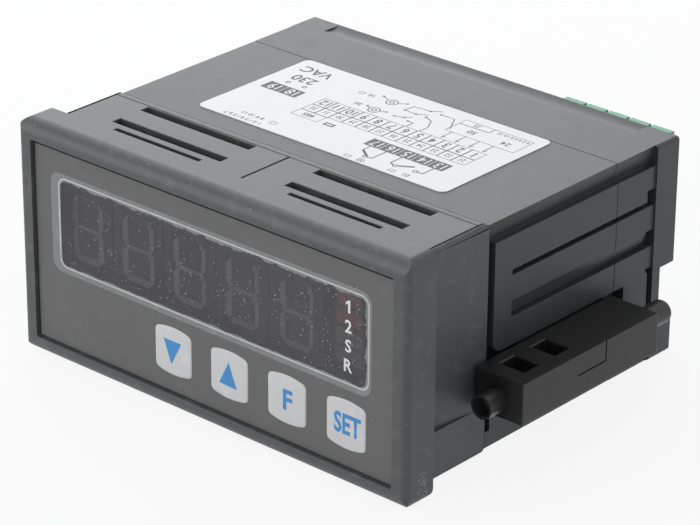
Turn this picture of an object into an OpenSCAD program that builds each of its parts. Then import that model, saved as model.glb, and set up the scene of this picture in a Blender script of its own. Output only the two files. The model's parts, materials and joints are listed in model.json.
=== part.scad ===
// Panel counter: a digital counter that sits in a cut-out of a control panel.
// X runs to the right as seen from the front, Y to the back and Z up.
// The origin is the centre of the cut-out, in the plane of the panel's front face.
// All sizes are in millimetres.

/* [Front frame] */
// Width of the front frame
bezel_w = 96; // [90:0.5:120]
// Height of the front frame
bezel_h = 48; // [44:0.5:60]
// Depth of the front frame before the panel
bezel_d = 7.5; // [6.5:0.5:12]
// Radius of the front frame's upper and lower front edges
bezel_edge_r = 3; // [1:0.5:3.5]
// Radius of the front frame's left and right front edges
bezel_side_r = 1.5; // [0.5:0.1:3]
// Radius of the front frame's corners as seen from the front
bezel_corner_r = 2.2; // [0.5:0.1:3]
// Thickness of the wall behind the film
front_wall = 1.2; // [0.8:0.1:2]
// How far the frame stands out of the sleeve at each side
lip_w = 2.6; // [2:0.05:4]
// How far the frame stands out of the sleeve above and below
lip_h = 1.35; // [1:0.05:3]

/* [Front film] */
// Width of the rim on each side of the film
film_rim_w = 3.75; // [3.2:0.05:6]
// Height of the rim above and below the film
film_rim_h = 4; // [3.5:0.05:6]
// Thickness of the film
film_t = 0.35; // [0.2:0.05:0.6]
// How far the film lies below the front of the frame
film_sink = 0.8; // [0.4:0.1:1.2]
// Gap round the film in its recess
film_gap = 0.4; // [0.2:0.1:0.6]
// Radius of the film's corners
film_r = 0.2; // [0.2:0.1:2]

/* [Display window] */
// Distance from the film's left edge to the window opening
window_left = 5.55; // [4:0.05:10]
// Distance from the film's right edge to the window opening
window_right = 6.35; // [5:0.05:10]
// Distance from the film's upper edge to the window opening
window_over = 5.3; // [4:0.05:8]
// Height of the strip with the keys, below the window opening
window_under = 15.9; // [15:0.05:20]
// Radius of the window's corners
window_r = 2; // [1:0.2:3]
// Width of the window's rim behind the front wall
window_rim = 1.5; // [0.8:0.1:1.6]
// Thickness of the window's rim
window_rim_t = 0.8; // [0.5:0.1:1]

/* [Digits and indicators] */
// Depth of one digit module
digit_d = 8; // [6:0.5:10]
// Gap between two digit modules
digit_gap = 0.5; // [0.2:0.1:2]
// Width of the window that is kept for the indicator lamps
lamp_zone = 11.1; // [10:0.1:16]
// Distance from the window's right edge to the middle of the lamps
lamp_in = 6.3; // [5:0.1:7]
// Width of the indicator block
lamp_w = 6.6; // [5:0.2:7.5]
// Distance from one indicator lamp to the next
lamp_pitch = 3.8; // [3.2:0.1:4]

/* [Keys] */
// Sideways place of the first key
key_x = -9.1; // [-11:0.1:-7]
// Distance from one key to the next
key_pitch = 14.1; // [13:0.1:14.4]
// Distance from the film's lower edge to the middle of the keys
key_up = 8.4; // [7:0.1:9]
// Width of a key on the film
key_w = 9; // [7:0.1:11]
// Height of a key on the film at its sides
key_h = 8.2; // [6:0.1:9]
// How far a key bulges above and below
key_bulge = 0.75; // [0.3:0.05:1]
// How far a key is embossed out of the film
key_raise = 0.2; // [0.1:0.05:0.5]
// Diameter of a key's plunger
plunger_d = 3.4; // [2.5:0.1:4]
// Travel of a plunger
plunger_travel = 0.25; // [0.15:0.05:0.4]
// Width of a key switch
switch_w = 6.2; // [5.5:0.1:7]
// Depth of a key switch
switch_d = 3.5; // [3:0.1:5]

/* [Sleeve] */
// Length of the sleeve behind the panel's front face
sleeve_d = 17.1; // [16.5:0.1:20]
// Thickness of the sleeve's wall
sleeve_wall = 1.7; // [1.5:0.05:1.85]
// Length of the long slots in the sleeve
slot_l = 27.7; // [20:0.1:30]
// Width of the long slots in the sleeve
slot_w = 2.1; // [1.6:0.1:2.2]
// Sideways place of the slots' middle
slot_x = 21.75; // [20:0.05:23]
// Distance from the sleeve's rear end to the rear slot's middle
slot_rear = 3.5; // [3.3:0.1:4]
// Distance from the panel's front to the middle slot's middle
slot_mid_y = 6.15; // [5.8:0.05:7]
// Distance from the panel's front to the front slot's middle
slot_front_y = 2.95; // [2.5:0.05:3.3]
// Width of the thin lines moulded in the sleeve
line_w = 0.4; // [0.2:0.05:0.6]
// Height of the sloping recess in the sleeve's cheeks
cheek_h = 27.2; // [20:0.2:32]
// Depth of the sloping recess at the front frame
cheek_sink = 1.2; // [0.6:0.1:1.3]

/* [Case] */
// Length of the case from the sleeve to the joint line
case_d = 37; // [36:0.5:60]
// How far the case's sides lie inside the sleeve's
side_step = 0.35; // [0.2:0.05:1]
// How far the case's top lies below the sleeve's
top_step = 0.55; // [0.2:0.05:1]
// Thickness of the case's roof and floor
roof_wall = 2; // [1.6:0.1:3]
// Thickness of the case's sides at its top edges
side_wall = 3.15; // [3:0.05:4]
// How far the sides lie inside the top edges
side_sink = 1.05; // [0.8:0.05:1.2]
// Height of the slanted band along the top edge of each side
band_h = 3.6; // [2.5:0.1:4]
// How far the ribbed panels stand out of the top edges
panel_out = 0.35; // [0.1:0.05:0.6]
// Gap between the sleeve and the ribbed panel
panel_gap = 1.8; // [1:0.1:2.5]
// Distance from the panel's upper edge to the first groove
groove_drop = 6.8; // [6:0.05:8]
// Distance from one groove to the next
groove_pitch = 8.35; // [8:0.05:9]
// Height of a groove
groove_h = 1; // [0.8:0.05:1.5]
// Depth of a groove
groove_deep = 1.6; // [1:0.1:1.8]
// Height of the slanted facet over the lower groove
facet_h = 2.3; // [1.5:0.1:2.6]
// Height of the rail below the bracket's channel
rail_h = 6.1; // [5:0.1:7]
// Height of the channel that guides a bracket
channel_h = 12.4; // [12:0.1:14]
// Depth of the channel's floor below the side's face
channel_deep = 1; // [0.8:0.05:1.2]
// Height of the undercut that holds a bracket's hooks
hook_h = 1; // [0.6:0.1:1.2]

/* [Rear cover] */
// Length of the rear cover's body, from the joint line to the hood
rear_d = 11.3; // [10.5:0.1:14]
// Depth of the hood round the terminals
hood_d = 6.5; // [6:0.1:9]
// How far the hood stands out of the case at each side
hood_out = 0.75; // [0.4:0.05:1]
// How far the hood stands out of the case above and below
hood_over = 0; // [0:0.05:0.5]
// Thickness of the hood's walls
hood_wall = 1.6; // [1.2:0.1:1.65]
// Thickness of the rear wall
rear_wall = 2; // [1.5:0.1:2.2]
// Distance from the channel's upper edge down to the notch in the hood's sides
notch_drop = -0.25; // [-0.5:0.05:2]
// Distance from the channel's lower edge up to the notch in the hood's sides
notch_up = 1; // [0.5:0.1:2]
// Distance from the joint line to the wall that ends a bracket's channel
channel_end = 2.9; // [2:0.1:4]
// Gap between that wall and the hood
stop_gap = 1.1; // [0.6:0.1:2]

/* [Fixing brackets] */
// Width of a bracket's block
bracket_w = 10.9; // [10:0.1:13]
// Length of a bracket's block
bracket_l = 39.3; // [38:0.1:41]
// Height of a bracket's block
bracket_h = 8.2; // [7:0.1:9]
// Distance from the channel's upper edge down to the bracket's upper face
bracket_drop = -0.05; // [-0.5:0.05:1.2]
// Distance from the panel's front to the bracket's front face
bracket_y = 13.3; // [12:0.1:14]
// Length of the foot that slides in the case's channel
foot_l = 25; // [20:0.5:25]
// Length of the foot's hooked stretch
hook_l = 10.3; // [8:0.1:10.4]
// Diameter of a clamp rod
rod_d = 4.6; // [4:0.1:5]
// Length of a clamp rod
rod_l = 53.2; // [50:0.1:56]
// How far a clamp rod stands out of the bracket's front face
rod_out = 4.3; // [3:0.1:6]

/* [Circuit boards] */
// Thickness of the circuit boards
board_t = 1.6; // [1:0.1:1.6]
// Room over the upper board
upper_room = 10.9; // [10:0.1:12]
// Room under the lower board's upper face
lower_room = 3.5; // [3.3:0.1:5]

/* [Terminals] */
// Distance between the poles of the upper plugs
upper_pitch = 5.08; // [5:0.01:5.08]
// Distance between the poles of the lower plug
lower_pitch = 3.81; // [3.5:0.01:3.96]
// Poles of the output plug
output_poles = 5; // [4:1:5]
// Poles of the supply plug
supply_poles = 2; // [2:1:4]
// Poles of the input plug
input_poles = 12; // [8:1:14]
// Distance from the case's inside to the upper plugs
plug_side = 0.6; // [0.4:0.1:3]
// Depth of the plugs behind the rear wall
plug_d = 8.5; // [7.5:0.1:10]
// Depth of the plugs' noses inside the headers
nose_d = 9.6; // [8:0.1:9.6]
// Depth of the headers
header_d = 12; // [11.6:0.1:13]
// Thickness of the headers' walls
header_wall = 1.2; // [0.8:0.1:1.2]

/* [Label] */
// Width of the wiring label
label_w = 60.8; // [50:0.2:70]
// Length of the wiring label
label_l = 31.4; // [20:0.2:32]
// Radius of the label's corners
label_r = 2; // [1:0.2:4]

/* [Hidden] */
$fn = 48;
// Overshoot of a cut past the face it opens
cut = 1;
// Depth of overlap where two volumes of one piece join
join = 0.2;
// Clearance between parts that are put together
fit_gap = 0.15;
// Clearance between parts that slide on each other
slide_gap = 0.2;
// Radial clearance of a round sliding part
run_gap = 0.05;
// Clearance of a contact pin in its hole
pin_gap = 0.1;
// Width of the visible joint line between case and rear cover
joint_line = 0.1;

// Film and window, from the frame
film_w = bezel_w - 2 * film_rim_w;
film_h = bezel_h - 2 * film_rim_h;
window_w = film_w - window_left - window_right;
window_h = film_h - window_over - window_under;
window_x = (window_left - window_right) / 2;
window_z = (window_under - window_over) / 2;

// Planes of the front, from the film to the display board
film_y = film_sink - bezel_d;
wall_y = film_y + film_t;
inside_y = wall_y + front_wall;
window_back_y = inside_y + window_rim_t;
digit_y = window_back_y + slide_gap;
board_y = digit_y + digit_d;
board_back_y = board_y + board_t;

// Digits, lamps and keys, from the window and the film
digit_count = 5;
digit_shift = -1.05;
digit_drop = 0.7;
digit_over = 0.1;
digit_pitch = (window_w - lamp_zone) / digit_count;
digit_w = digit_pitch - digit_gap;
digit_h = window_h + 2 * digit_over;
digit_x = window_x - lamp_zone / 2 + digit_shift;
digit_z = window_z - digit_drop;
digit_bar_w = 1.4;
digit_bar_h = 6.6;
digit_bar_deep = 0.15;
lamp_count = 4;
lamp_up = 0.2;
lamp_x = window_x + window_w / 2 - lamp_in;
lamp_z = window_z + lamp_up;
lamp_edge = 0.4;
key_count = 4;
key_z = key_up - film_h / 2;
switch_floor = 1.4;

// Sleeve, and the spigot of the case that pushes into it
sleeve_w = bezel_w - 2 * lip_w;
sleeve_h = bezel_h - 2 * lip_h;
sleeve_in_w = sleeve_w - 2 * sleeve_wall;
sleeve_in_h = sleeve_h - 2 * sleeve_wall;
sleeve_r = 0.8;
sleeve_edge_r = 1.2;
slot_rear_y = sleeve_d - slot_rear;
front_slot_short = 6;
flap_back = 2.2;
flap_side = 1.1;
flap_rear_y = sleeve_d - flap_back;
flap_edge = sleeve_w / 2 - flap_side;
line_deep = 0.5;
cheek_z = 0.6;
cheek_relief = 0.3;
spigot_wall = 1.5;
spigot_side = 1.65;
spigot_back = 2.6;
spigot_w = sleeve_in_w - 2 * fit_gap;
spigot_h = sleeve_in_h - 2 * fit_gap;
spigot_in_w = spigot_w - 2 * spigot_side;
spigot_in_h = spigot_h - 2 * spigot_wall;
spigot_y = board_back_y + spigot_back;
case_y = sleeve_d + fit_gap;

// Posts of the front frame, with stakes that hold the display board
post_r = 1.8;
stake_r = 1.1;
stake_out = 0.8;
post_side = 0.6;
post_over = 0.8;
post_x = sleeve_in_w / 2 - post_r - post_side;
post_z = sleeve_in_h / 2 - post_r - post_over;

// Planes of the back
joint_y = sleeve_d + case_d;
hood_y = joint_y + rear_d;
hood_end_y = hood_y + hood_d;
rear_step = 0.4;
rear_in_y = hood_y + rear_step;
rear_out_y = rear_in_y + rear_wall;
plug_y = rear_out_y + slide_gap;
plug_end_y = plug_y + plug_d;

// Case and hood
body_w = sleeve_w - 2 * side_step;
body_h = sleeve_h - 2 * top_step;
inner_w = body_w - 2 * side_wall;
inner_h = body_h - 2 * roof_wall;
hood_w = body_w + 2 * hood_out;
hood_h = body_h + 2 * hood_over;
hood_r = 0.8;
scoop_w = 4.4;
scoop_deep = 0.35;
scoop_back = 0.3;
scoop_side = 7.3;

// Side walls
side_half = body_w / 2 - side_sink;
floor_half = side_half - channel_deep;
lip_deep = 1.4;
lip_half = floor_half + lip_deep;
panel_ledge = 0.35;
panel_half = body_w / 2 + panel_out;
panel_top = body_h / 2 - band_h - panel_ledge;
channel_bottom = rail_h - body_h / 2;
panel_bottom = channel_bottom + channel_h;
panel_y = sleeve_d + panel_gap;
panel_corner_r = 2.5;
gap_drop = 2.8;
groove_count = 2;
groove_front = 5;
groove_y = panel_y + groove_front;
groove_z = panel_top - groove_drop;
facet_sink = groove_deep / 2;
pocket_l = 2.1;
corner_l = 1.9;
corner_up = 1.2;
stop_y = joint_y + channel_end;
stop_end_y = hood_y - stop_gap;
mouth_y = stop_y - hook_l - 2 * slide_gap;
notch_top = panel_bottom - notch_drop;
notch_bottom = channel_bottom + notch_up;

// Snap teeth and tongues that hold sleeve, case and rear cover together
tooth_in = 2.4;
tooth_sink = 0.95;
tongue_side = 12;
tongue_l = 4;
tongue_t = 1.4;

// Brackets
bracket_top = panel_bottom - bracket_drop;
block_x = hood_w / 2 + slide_gap;
block_end_x = block_x + bracket_w;
block_z = bracket_top - bracket_h;
block_end_y = bracket_y + bracket_l;
foot_back = 1.6;
foot_x = floor_half + slide_gap;
foot_top = min(bracket_top, panel_bottom - slide_gap);
foot_end_y = block_end_y - foot_back;
foot_y = foot_end_y - foot_l;
core_front = 6.1;
core_pitch = 8.8;
core_hole_w = 5.4;
core_hole_l = 4;
core_y = bracket_y + core_front;
tab_front = 23.6;
tab_l = 8;
tab_drop = 4.2;
tab_line = 0.3;
tab_y = bracket_y + tab_front;
rod_off = 0.4;
rod_drop = 0.7;
rod_round = 1;
rod_rim = 0.5;
rod_hollow = 2.5;
rod_x = block_x + bracket_w / 2 - rod_off;
rod_z = bracket_top - bracket_h / 2 - rod_drop;
rod_y = bracket_y - rod_out;

// Boards, between the narrowest walls that they pass
room_w = min(inner_w, spigot_in_w);
room_h = min(inner_h, spigot_in_h);
board_edge_gap = 0.5;
board_end_gap = 0.8;
board_rail_in = 1.2;
board_rail_h = 1.2;
rail_back = 5;
main_board_w = room_w - board_end_gap;
main_board_y = board_back_y + stake_out + board_end_gap;
main_board_end_y = rear_in_y - board_end_gap;
upper_z = room_h / 2 - upper_room;
lower_z = lower_room - room_h / 2;

// Parts on the boards
part_gap = 0.6;
link_l = 40;
link_d = 5;
link_h = 2.6;
chip_w = 14;
chip_t = 1.6;
chip_x = -24;
chip_z = -4;
core_w = 32;
core_d = 13;
coil_d = 26;
coil_gap = 4;
coil_x = -18;
coil_y = 30;
cap_x = 16;
cap_d = 12.5;
cap_room = 2.6;
relay_w = 10;
relay_d = 20;
relay_x = 14;
relay_pitch = 16;
relay_y = 38;

// Terminals
header_h_upper = 8.6;
header_h_lower = 7.2;
header_back = 1.5;
header_y = rear_out_y - fit_gap - header_d;
plug_end_x = inner_w / 2 - plug_side;
output_x = plug_end_x - output_poles * upper_pitch / 2;
supply_x = supply_poles * upper_pitch / 2 - plug_end_x;
input_x = 0;
plug_over = 3.4;
supply_over = 1.9;
plug_under = 2;
upper_span = [upper_z - plug_under, upper_z + header_h_upper + plug_over];
supply_span = [upper_z - plug_under, upper_z + header_h_upper + supply_over];
lower_span = [lower_z - plug_under, lower_z + header_h_lower + plug_under];
pole_line = 0.5;
pin_w = 1;
pin_back = 1.4;
pin_short = 3.2;
pin_tail = 0.9;
clamp_front = 1.4;
clamp_d = 4.4;
clamp_wall = 0.7;
clamp_side = 1.1;
clamp_over = 0.8;
clamp_y = plug_y + clamp_front;
upper_clamp_in = 5.6;
lower_clamp_in = 4.6;
upper_clamp_z = upper_span[0] + upper_clamp_in;
lower_clamp_z = lower_span[1] - lower_clamp_in;
screw_side = 1.3;
screw_sink = 0.4;
screw_slot = 0.7;

// Label
label_t = 0.15;
label_back = 0.4;

case_grey = "#4a4b4d";
board_green = "#2f6a46";
plug_green = "#57a886";
tin = "#b9bcc0";

// A box between two limits on each axis
module slab(x, y, z) {
    translate([x[0], y[0], z[0]]) cube([x[1] - x[0], y[1] - y[0], z[1] - z[0]]);
}

// A flat shape, drawn as seen from the front, pushed back from y0 to y1
module along_y(y0, y1) {
    translate([0, y1, 0]) rotate([90, 0, 0]) linear_extrude(y1 - y0) children();
}

// A flat shape, drawn with Y across and Z up, pushed sideways from x0 to x1
module along_x(x0, x1) {
    translate([x0, 0, 0]) rotate([90, 0, 90]) linear_extrude(x1 - x0) children();
}

// A flat shape, drawn from above, pushed up from z0 to z1
module along_z(z0, z1) {
    translate([0, 0, z0]) linear_extrude(z1 - z0) children();
}

// A round bar along Y
module bar_y(x, z, r, y0, y1) {
    translate([x, y1, z]) rotate([90, 0, 0]) cylinder(r = r, h = y1 - y0);
}

// A flat rectangle with rounded corners
module rounded(w, h, r) {
    square([w - 2 * r, h], center = true);
    square([w, h - 2 * r], center = true);
    for (x = [-1, 1], z = [-1, 1])
        translate([x * (w / 2 - r), z * (h / 2 - r)]) circle(r);
}

// A flat bar of length d and height h whose two corners at one end are rounded
module round_ended(d, h, r) {
    translate([r, -h / 2]) square([d - r, h]);
    translate([0, r - h / 2]) square([d, h - 2 * r]);
    for (z = [-1, 1]) translate([r, z * (h / 2 - r)]) circle(r);
}

// The same child on both sides of the middle
module both_sides() {
    children();
    mirror([1, 0, 0]) children();
}

// The same child above and below the middle
module both_heights() {
    children();
    mirror([0, 0, 1]) children();
}

// Front frame: rim, front wall and the sleeve behind it, moulded in one piece
module bezel_form() {
    intersection() {
        along_y(-bezel_d, 0) rounded(bezel_w, bezel_h, bezel_corner_r);
        along_x(-bezel_w, bezel_w) translate([-bezel_d, 0]) round_ended(bezel_d, bezel_h, bezel_edge_r);
        along_z(-bezel_h, bezel_h) translate([0, -bezel_d]) rotate(90)
            round_ended(bezel_d, bezel_w, bezel_side_r);
    }
}

module sleeve_form() {
    intersection() {
        along_y(-join, sleeve_d) rounded(sleeve_w, sleeve_h, sleeve_r);
        along_x(-sleeve_w, sleeve_w) translate([sleeve_d, 0]) mirror([1, 0])
            round_ended(sleeve_d + join, sleeve_h, sleeve_edge_r);
    }
}

module sleeve_slots() {
    slots = [
        [slot_rear_y, slot_l, slot_w],
        [slot_mid_y, slot_l, slot_w],
        [slot_front_y, slot_l - front_slot_short, slot_w / 2]];
    for (s = slots)
        slab([slot_x - s[1] / 2, slot_x + s[1] / 2], [s[0] - s[2] / 2, s[0] + s[2] / 2],
            [sleeve_in_h / 2 - cut, sleeve_h / 2 + cut]);
}

module sleeve_lines() {
    deep = sleeve_h / 2 - line_deep;
    top = sleeve_h / 2 + cut;
    both_sides() slab([flap_edge, flap_edge + line_w], [0, sleeve_d + cut], [deep, top]);
    slab([-flap_edge, flap_edge], [flap_rear_y, flap_rear_y + line_w / 2], [deep, top]);
    slab([-line_w / 2, line_w / 2], [0, flap_rear_y], [deep, top]);
}

module cheek_recess() {
    along_z(-cheek_h / 2, cheek_h / 2) polygon([
        [sleeve_w / 2 - cheek_sink, 0],
        [sleeve_w / 2 - cheek_sink, -cheek_relief],
        [sleeve_w / 2 + slide_gap, -cheek_relief],
        [sleeve_w / 2 + slide_gap, 0],
        [sleeve_w / 2 + cut, 0],
        [sleeve_w / 2 + cut, flap_rear_y],
        [sleeve_w / 2, flap_rear_y - cut]]);
}

module front_frame() {
    color(case_grey) {
        difference() {
            union() {
                bezel_form();
                sleeve_form();
            }
            along_y(-bezel_d - cut, wall_y)
                rounded(film_w + 2 * film_gap, film_h + 2 * film_gap, film_r + film_gap);
            along_y(inside_y, sleeve_d + cut) square([sleeve_in_w, sleeve_in_h], center = true);
            translate([window_x, 0, window_z]) along_y(wall_y - cut, inside_y + cut)
                rounded(window_w, window_h, window_r);
            for (i = [0 : key_count - 1])
                bar_y(key_x + i * key_pitch, key_z, plunger_d / 2 + slide_gap, wall_y - cut, inside_y + cut);
            both_heights() {
                both_sides() sleeve_slots();
                sleeve_lines();
            }
            both_sides() translate([0, 0, cheek_z]) cheek_recess();
        }
        for (x = [-1, 1], z = [-1, 1]) {
            bar_y(x * post_x, z * post_z, post_r, inside_y - join, board_y);
            bar_y(x * post_x, z * post_z, stake_r, board_y - join, board_back_y + stake_out);
        }
    }
}

// Outline of a key on the film: a square whose upper and lower sides bulge
module key_outline() {
    arc_r = (key_w * key_w / 4 + key_bulge * key_bulge) / (2 * key_bulge);
    intersection() {
        square([key_w, key_h + 2 * key_bulge], center = true);
        translate([0, key_h / 2 + key_bulge - arc_r]) circle(arc_r);
        translate([0, arc_r - key_h / 2 - key_bulge]) circle(arc_r);
    }
}

// Printed film in the recess of the front frame, with an embossed pad over each key
module front_film() {
    color("#676767") {
        along_y(film_y, wall_y) rounded(film_w, film_h, film_r);
        for (i = [0 : key_count - 1]) translate([key_x + i * key_pitch, 0, key_z])
            along_y(film_y - key_raise, film_y + key_raise) key_outline();
    }
}

// Smoked window with a rim that is bonded behind the front wall
module display_window() {
    color("#2c2a2c") translate([window_x, 0, window_z]) {
        along_y(wall_y, inside_y + join)
            rounded(window_w - 2 * fit_gap, window_h - 2 * fit_gap, window_r - fit_gap);
        along_y(inside_y, window_back_y)
            rounded(window_w + 2 * window_rim, window_h + 2 * window_rim, window_r + window_rim);
    }
}

// Outline of the case as seen from the front: slanted bands on top, rails at the bottom
module body_outline() {
    right = [
        [body_w / 2, body_h / 2],
        [side_half, body_h / 2 - band_h],
        [side_half, channel_bottom],
        [body_w / 2, channel_bottom],
        [body_w / 2, -body_h / 2]];
    left = [for (i = [len(right) - 1 : -1 : 0]) [-right[i][0], right[i][1]]];
    polygon(concat(right, left));
}

// Ribbed panel of one side, drawn with Y across and Z up
module panel_outline(y0, y1, r) {
    translate([y0 + r, panel_bottom]) square([y1 - y0 - r, panel_top - panel_bottom]);
    translate([y0, panel_bottom + r]) square([y1 - y0, panel_top - panel_bottom - r]);
    translate([y0 + r, panel_bottom + r]) circle(r);
}

// Grooves of the panel, with a pocket at the rear end of each and a slanted facet over the lowest
module panel_grooves() {
    floor_x = panel_half - groove_deep;
    facet_x = panel_half - facet_sink;
    low = groove_z - (groove_count - 1) * groove_pitch;
    for (i = [0 : groove_count - 1]) {
        top = groove_z - i * groove_pitch;
        slab([floor_x, panel_half + cut], [groove_y, hood_y + cut], [top - groove_h, top]);
        slab([floor_x, panel_half + cut], [hood_y - pocket_l, hood_y + cut], [top - groove_h, top + facet_h]);
    }
    along_y(groove_y, hood_y + cut) polygon([
        [panel_half, low + facet_h], [panel_half + cut, low + facet_h],
        [panel_half + cut, low - join], [facet_x, low - join], [facet_x, low]]);
}

// Channel under the panel in which a fixing bracket slides, undercut for its hooks
module bracket_channel(y0, y1) {
    slab([floor_half, body_w / 2 + cut], [y0, y1], [channel_bottom, panel_bottom]);
    slab([floor_half, lip_half], [y0, y1], [channel_bottom - hook_h, panel_bottom + hook_h]);
}

// Stretch of the channel without its lower lip, where a bracket is tilted in and out
module channel_mouth(y0, y1) {
    slab([floor_half, body_w / 2 + cut], [y0, y1], [channel_bottom - hook_h, channel_bottom + join]);
}

// Wall in the plane of the panel that ends the channel
module channel_stop() {
    slab([side_half - join, panel_half], [stop_y, stop_end_y], [channel_bottom - join, panel_bottom + join]);
}

// Three-cornered pocket at the panel's lower rear corner
module corner_pocket() {
    top = panel_bottom + corner_up;
    bottom = panel_bottom - join;
    along_x(side_half, panel_half + cut) polygon([
        [hood_y - corner_l, top], [hood_y + cut, top], [hood_y + cut, bottom], [stop_end_y, bottom]]);
}

// Stretch of the case from y0 to y1 with ribbed sides, still solid, less its children on both sides
module body_form(y0, y1, corner_r) {
    difference() {
        union() {
            along_y(y0, y1) body_outline();
            both_sides() along_x(side_half - join, panel_half) panel_outline(max(y0, panel_y), y1, corner_r);
        }
        both_sides() {
            panel_grooves();
            children();
        }
    }
}

// Ledges above and below a board's edge, from y0 to y1, which grow out of a wall at wall_x
module board_rails(z, wall_x, y0, y1) {
    rail_x = [main_board_w / 2 - board_rail_in, wall_x + join];
    both_sides() {
        slab(rail_x, [y0, y1], [z + fit_gap, z + fit_gap + board_rail_h]);
        slab(rail_x, [y0, y1], [z - board_t - fit_gap - board_rail_h, z - board_t - fit_gap]);
    }
}

// The same child at the left end of each rear slot's middle line, above and below
module snap_places() {
    both_heights() for (x = [-slot_x, slot_x]) translate([x - slot_l / 2, slot_rear_y, 0]) children();
}

// Case: ribbed tube whose front end pushes into the sleeve, with teeth that snap into its rear slots
module case() {
    groove_start = case_y + 2 * join;
    tooth_d = slot_w / 2 - fit_gap;
    color(case_grey) {
        difference() {
            union() {
                body_form(case_y, joint_y - joint_line, panel_corner_r) {
                    bracket_channel(groove_start, joint_y);
                    channel_mouth(mouth_y, joint_y);
                    slab([floor_half, panel_half + cut], [groove_start, panel_y],
                        [channel_bottom - gap_drop, panel_top]);
                }
                along_y(spigot_y, case_y + join) square([spigot_w, spigot_h], center = true);
            }
            along_y(spigot_y - cut, case_y + cut) square([spigot_in_w, spigot_in_h], center = true);
            along_y(case_y, joint_y + cut) square([inner_w, inner_h], center = true);
            snap_places()
                slab([fit_gap, slot_l - fit_gap], [0, tooth_d], [spigot_in_h / 2 - cut, spigot_h / 2 + cut]);
        }
        for (z = [upper_z, lower_z]) {
            board_rails(z, spigot_in_w / 2, spigot_y, case_y + join);
            board_rails(z, inner_w / 2, case_y, joint_y - rail_back);
        }
        snap_places() slab([tooth_in, slot_l - fit_gap], [-tooth_d, 0],
            [spigot_h / 2 - join, sleeve_h / 2 - tooth_sink]);
    }
}

// Opening in the rear wall round a terminal header
module header_opening(poles, pitch, x, board_z, height) {
    half = poles * pitch / 2 + fit_gap;
    slab([x - half, x + half], [rear_in_y - cut, rear_out_y + cut],
        [board_z - fit_gap, board_z + height + fit_gap]);
}

// Rear cover: end of the tube, rear wall and the hood round the terminals
module rear_cover() {
    hood_in_w = hood_w - 2 * hood_wall;
    hood_in_h = hood_h - 2 * hood_wall;
    scoop_r = (scoop_w * scoop_w / 4 + scoop_deep * scoop_deep) / (2 * scoop_deep);
    tongue_top = inner_h / 2 - fit_gap;
    tongue_x = [tongue_side - inner_w / 2, inner_w / 2 - tongue_side];
    color(case_grey) {
        difference() {
            union() {
                body_form(joint_y, hood_y + join, join) {
                    bracket_channel(joint_y - cut, stop_y);
                    channel_mouth(joint_y - cut, stop_y);
                    corner_pocket();
                }
                both_sides() channel_stop();
                along_y(hood_y, hood_end_y) rounded(hood_w, hood_h, hood_r);
            }
            along_y(joint_y - cut, rear_in_y) square([inner_w, inner_h], center = true);
            along_y(rear_out_y, hood_end_y + cut) rounded(hood_in_w, hood_in_h, hood_r);
            header_opening(output_poles, upper_pitch, output_x, upper_z, header_h_upper);
            header_opening(supply_poles, upper_pitch, supply_x, upper_z, header_h_upper);
            header_opening(input_poles, lower_pitch, input_x, lower_z, header_h_lower);
            translate([0, hood_end_y - scoop_w / 2 - scoop_back, hood_h / 2 - scoop_deep + scoop_r])
                rotate([0, 90, 0]) cylinder(r = scoop_r, h = hood_w - 2 * scoop_side, center = true);
            both_sides() slab([hood_in_w / 2 - hood_r, hood_w / 2 + cut], [rear_out_y, hood_end_y + cut],
                [notch_bottom, notch_top]);
        }
        both_heights() {
            slab(tongue_x, [joint_y - tongue_l, joint_y + tongue_l], [tongue_top - tongue_t, tongue_top]);
            slab(tongue_x, [joint_y + fit_gap, joint_y + tongue_l], [tongue_top - join, inner_h / 2 + join]);
        }
    }
}

// Printed label on the top of the case
module wiring_label() {
    color("#edeef0") translate([0, joint_y - label_back - label_l / 2, 0])
        along_z(body_h / 2, body_h / 2 + label_t) rounded(label_w, label_l, label_r);
}

// Board behind the front wall, staked on the posts of the front frame
module display_board() {
    color(board_green) difference() {
        along_y(board_y, board_back_y)
            square([sleeve_in_w - 2 * board_edge_gap, sleeve_in_h - 2 * board_edge_gap], center = true);
        for (x = [-1, 1], z = [-1, 1])
            bar_y(x * post_x, z * post_z, stake_r + pin_gap, board_y - cut, board_back_y + cut);
    }
}

// One bar of a seven-bar digit, lying along X
module digit_bar(length) {
    w = digit_bar_w / 2;
    polygon([[-length / 2, 0], [w - length / 2, w], [length / 2 - w, w],
        [length / 2, 0], [length / 2 - w, -w], [w - length / 2, -w]]);
}

// Seven-bar digit module with its bars sunk in the face
module digit(i) {
    x = digit_x + (i - (digit_count + 1) / 2) * digit_pitch;
    step = digit_bar_h;
    color("#3a3436") translate([x, 0, digit_z]) difference() {
        slab([-digit_w / 2, digit_w / 2], [digit_y, board_y], [-digit_h / 2, digit_h / 2]);
        along_y(digit_y - cut, digit_y + digit_bar_deep) {
            for (z = [-1, 0, 1]) translate([0, z * step]) digit_bar(step);
            for (x = [-1, 1], z = [-1, 1])
                translate([x * step / 2, z * step / 2]) rotate(90) digit_bar(step);
        }
    }
}

// Block with the indicator lamps, one shallow window for each
module indicator_block() {
    height = lamp_count * lamp_pitch;
    color("#4a3836") translate([lamp_x, 0, lamp_z]) difference() {
        slab([-lamp_w / 2, lamp_w / 2], [digit_y, board_y], [-height / 2, height / 2]);
        for (i = [0 : lamp_count - 1])
            translate([0, 0, (i - (lamp_count - 1) / 2) * lamp_pitch])
                slab([lamp_edge - lamp_w / 2, lamp_w / 2 - lamp_edge],
                    [digit_y - cut, digit_y + digit_bar_deep],
                    [lamp_edge - lamp_pitch / 2, lamp_pitch / 2 - lamp_edge]);
    }
}

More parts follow.
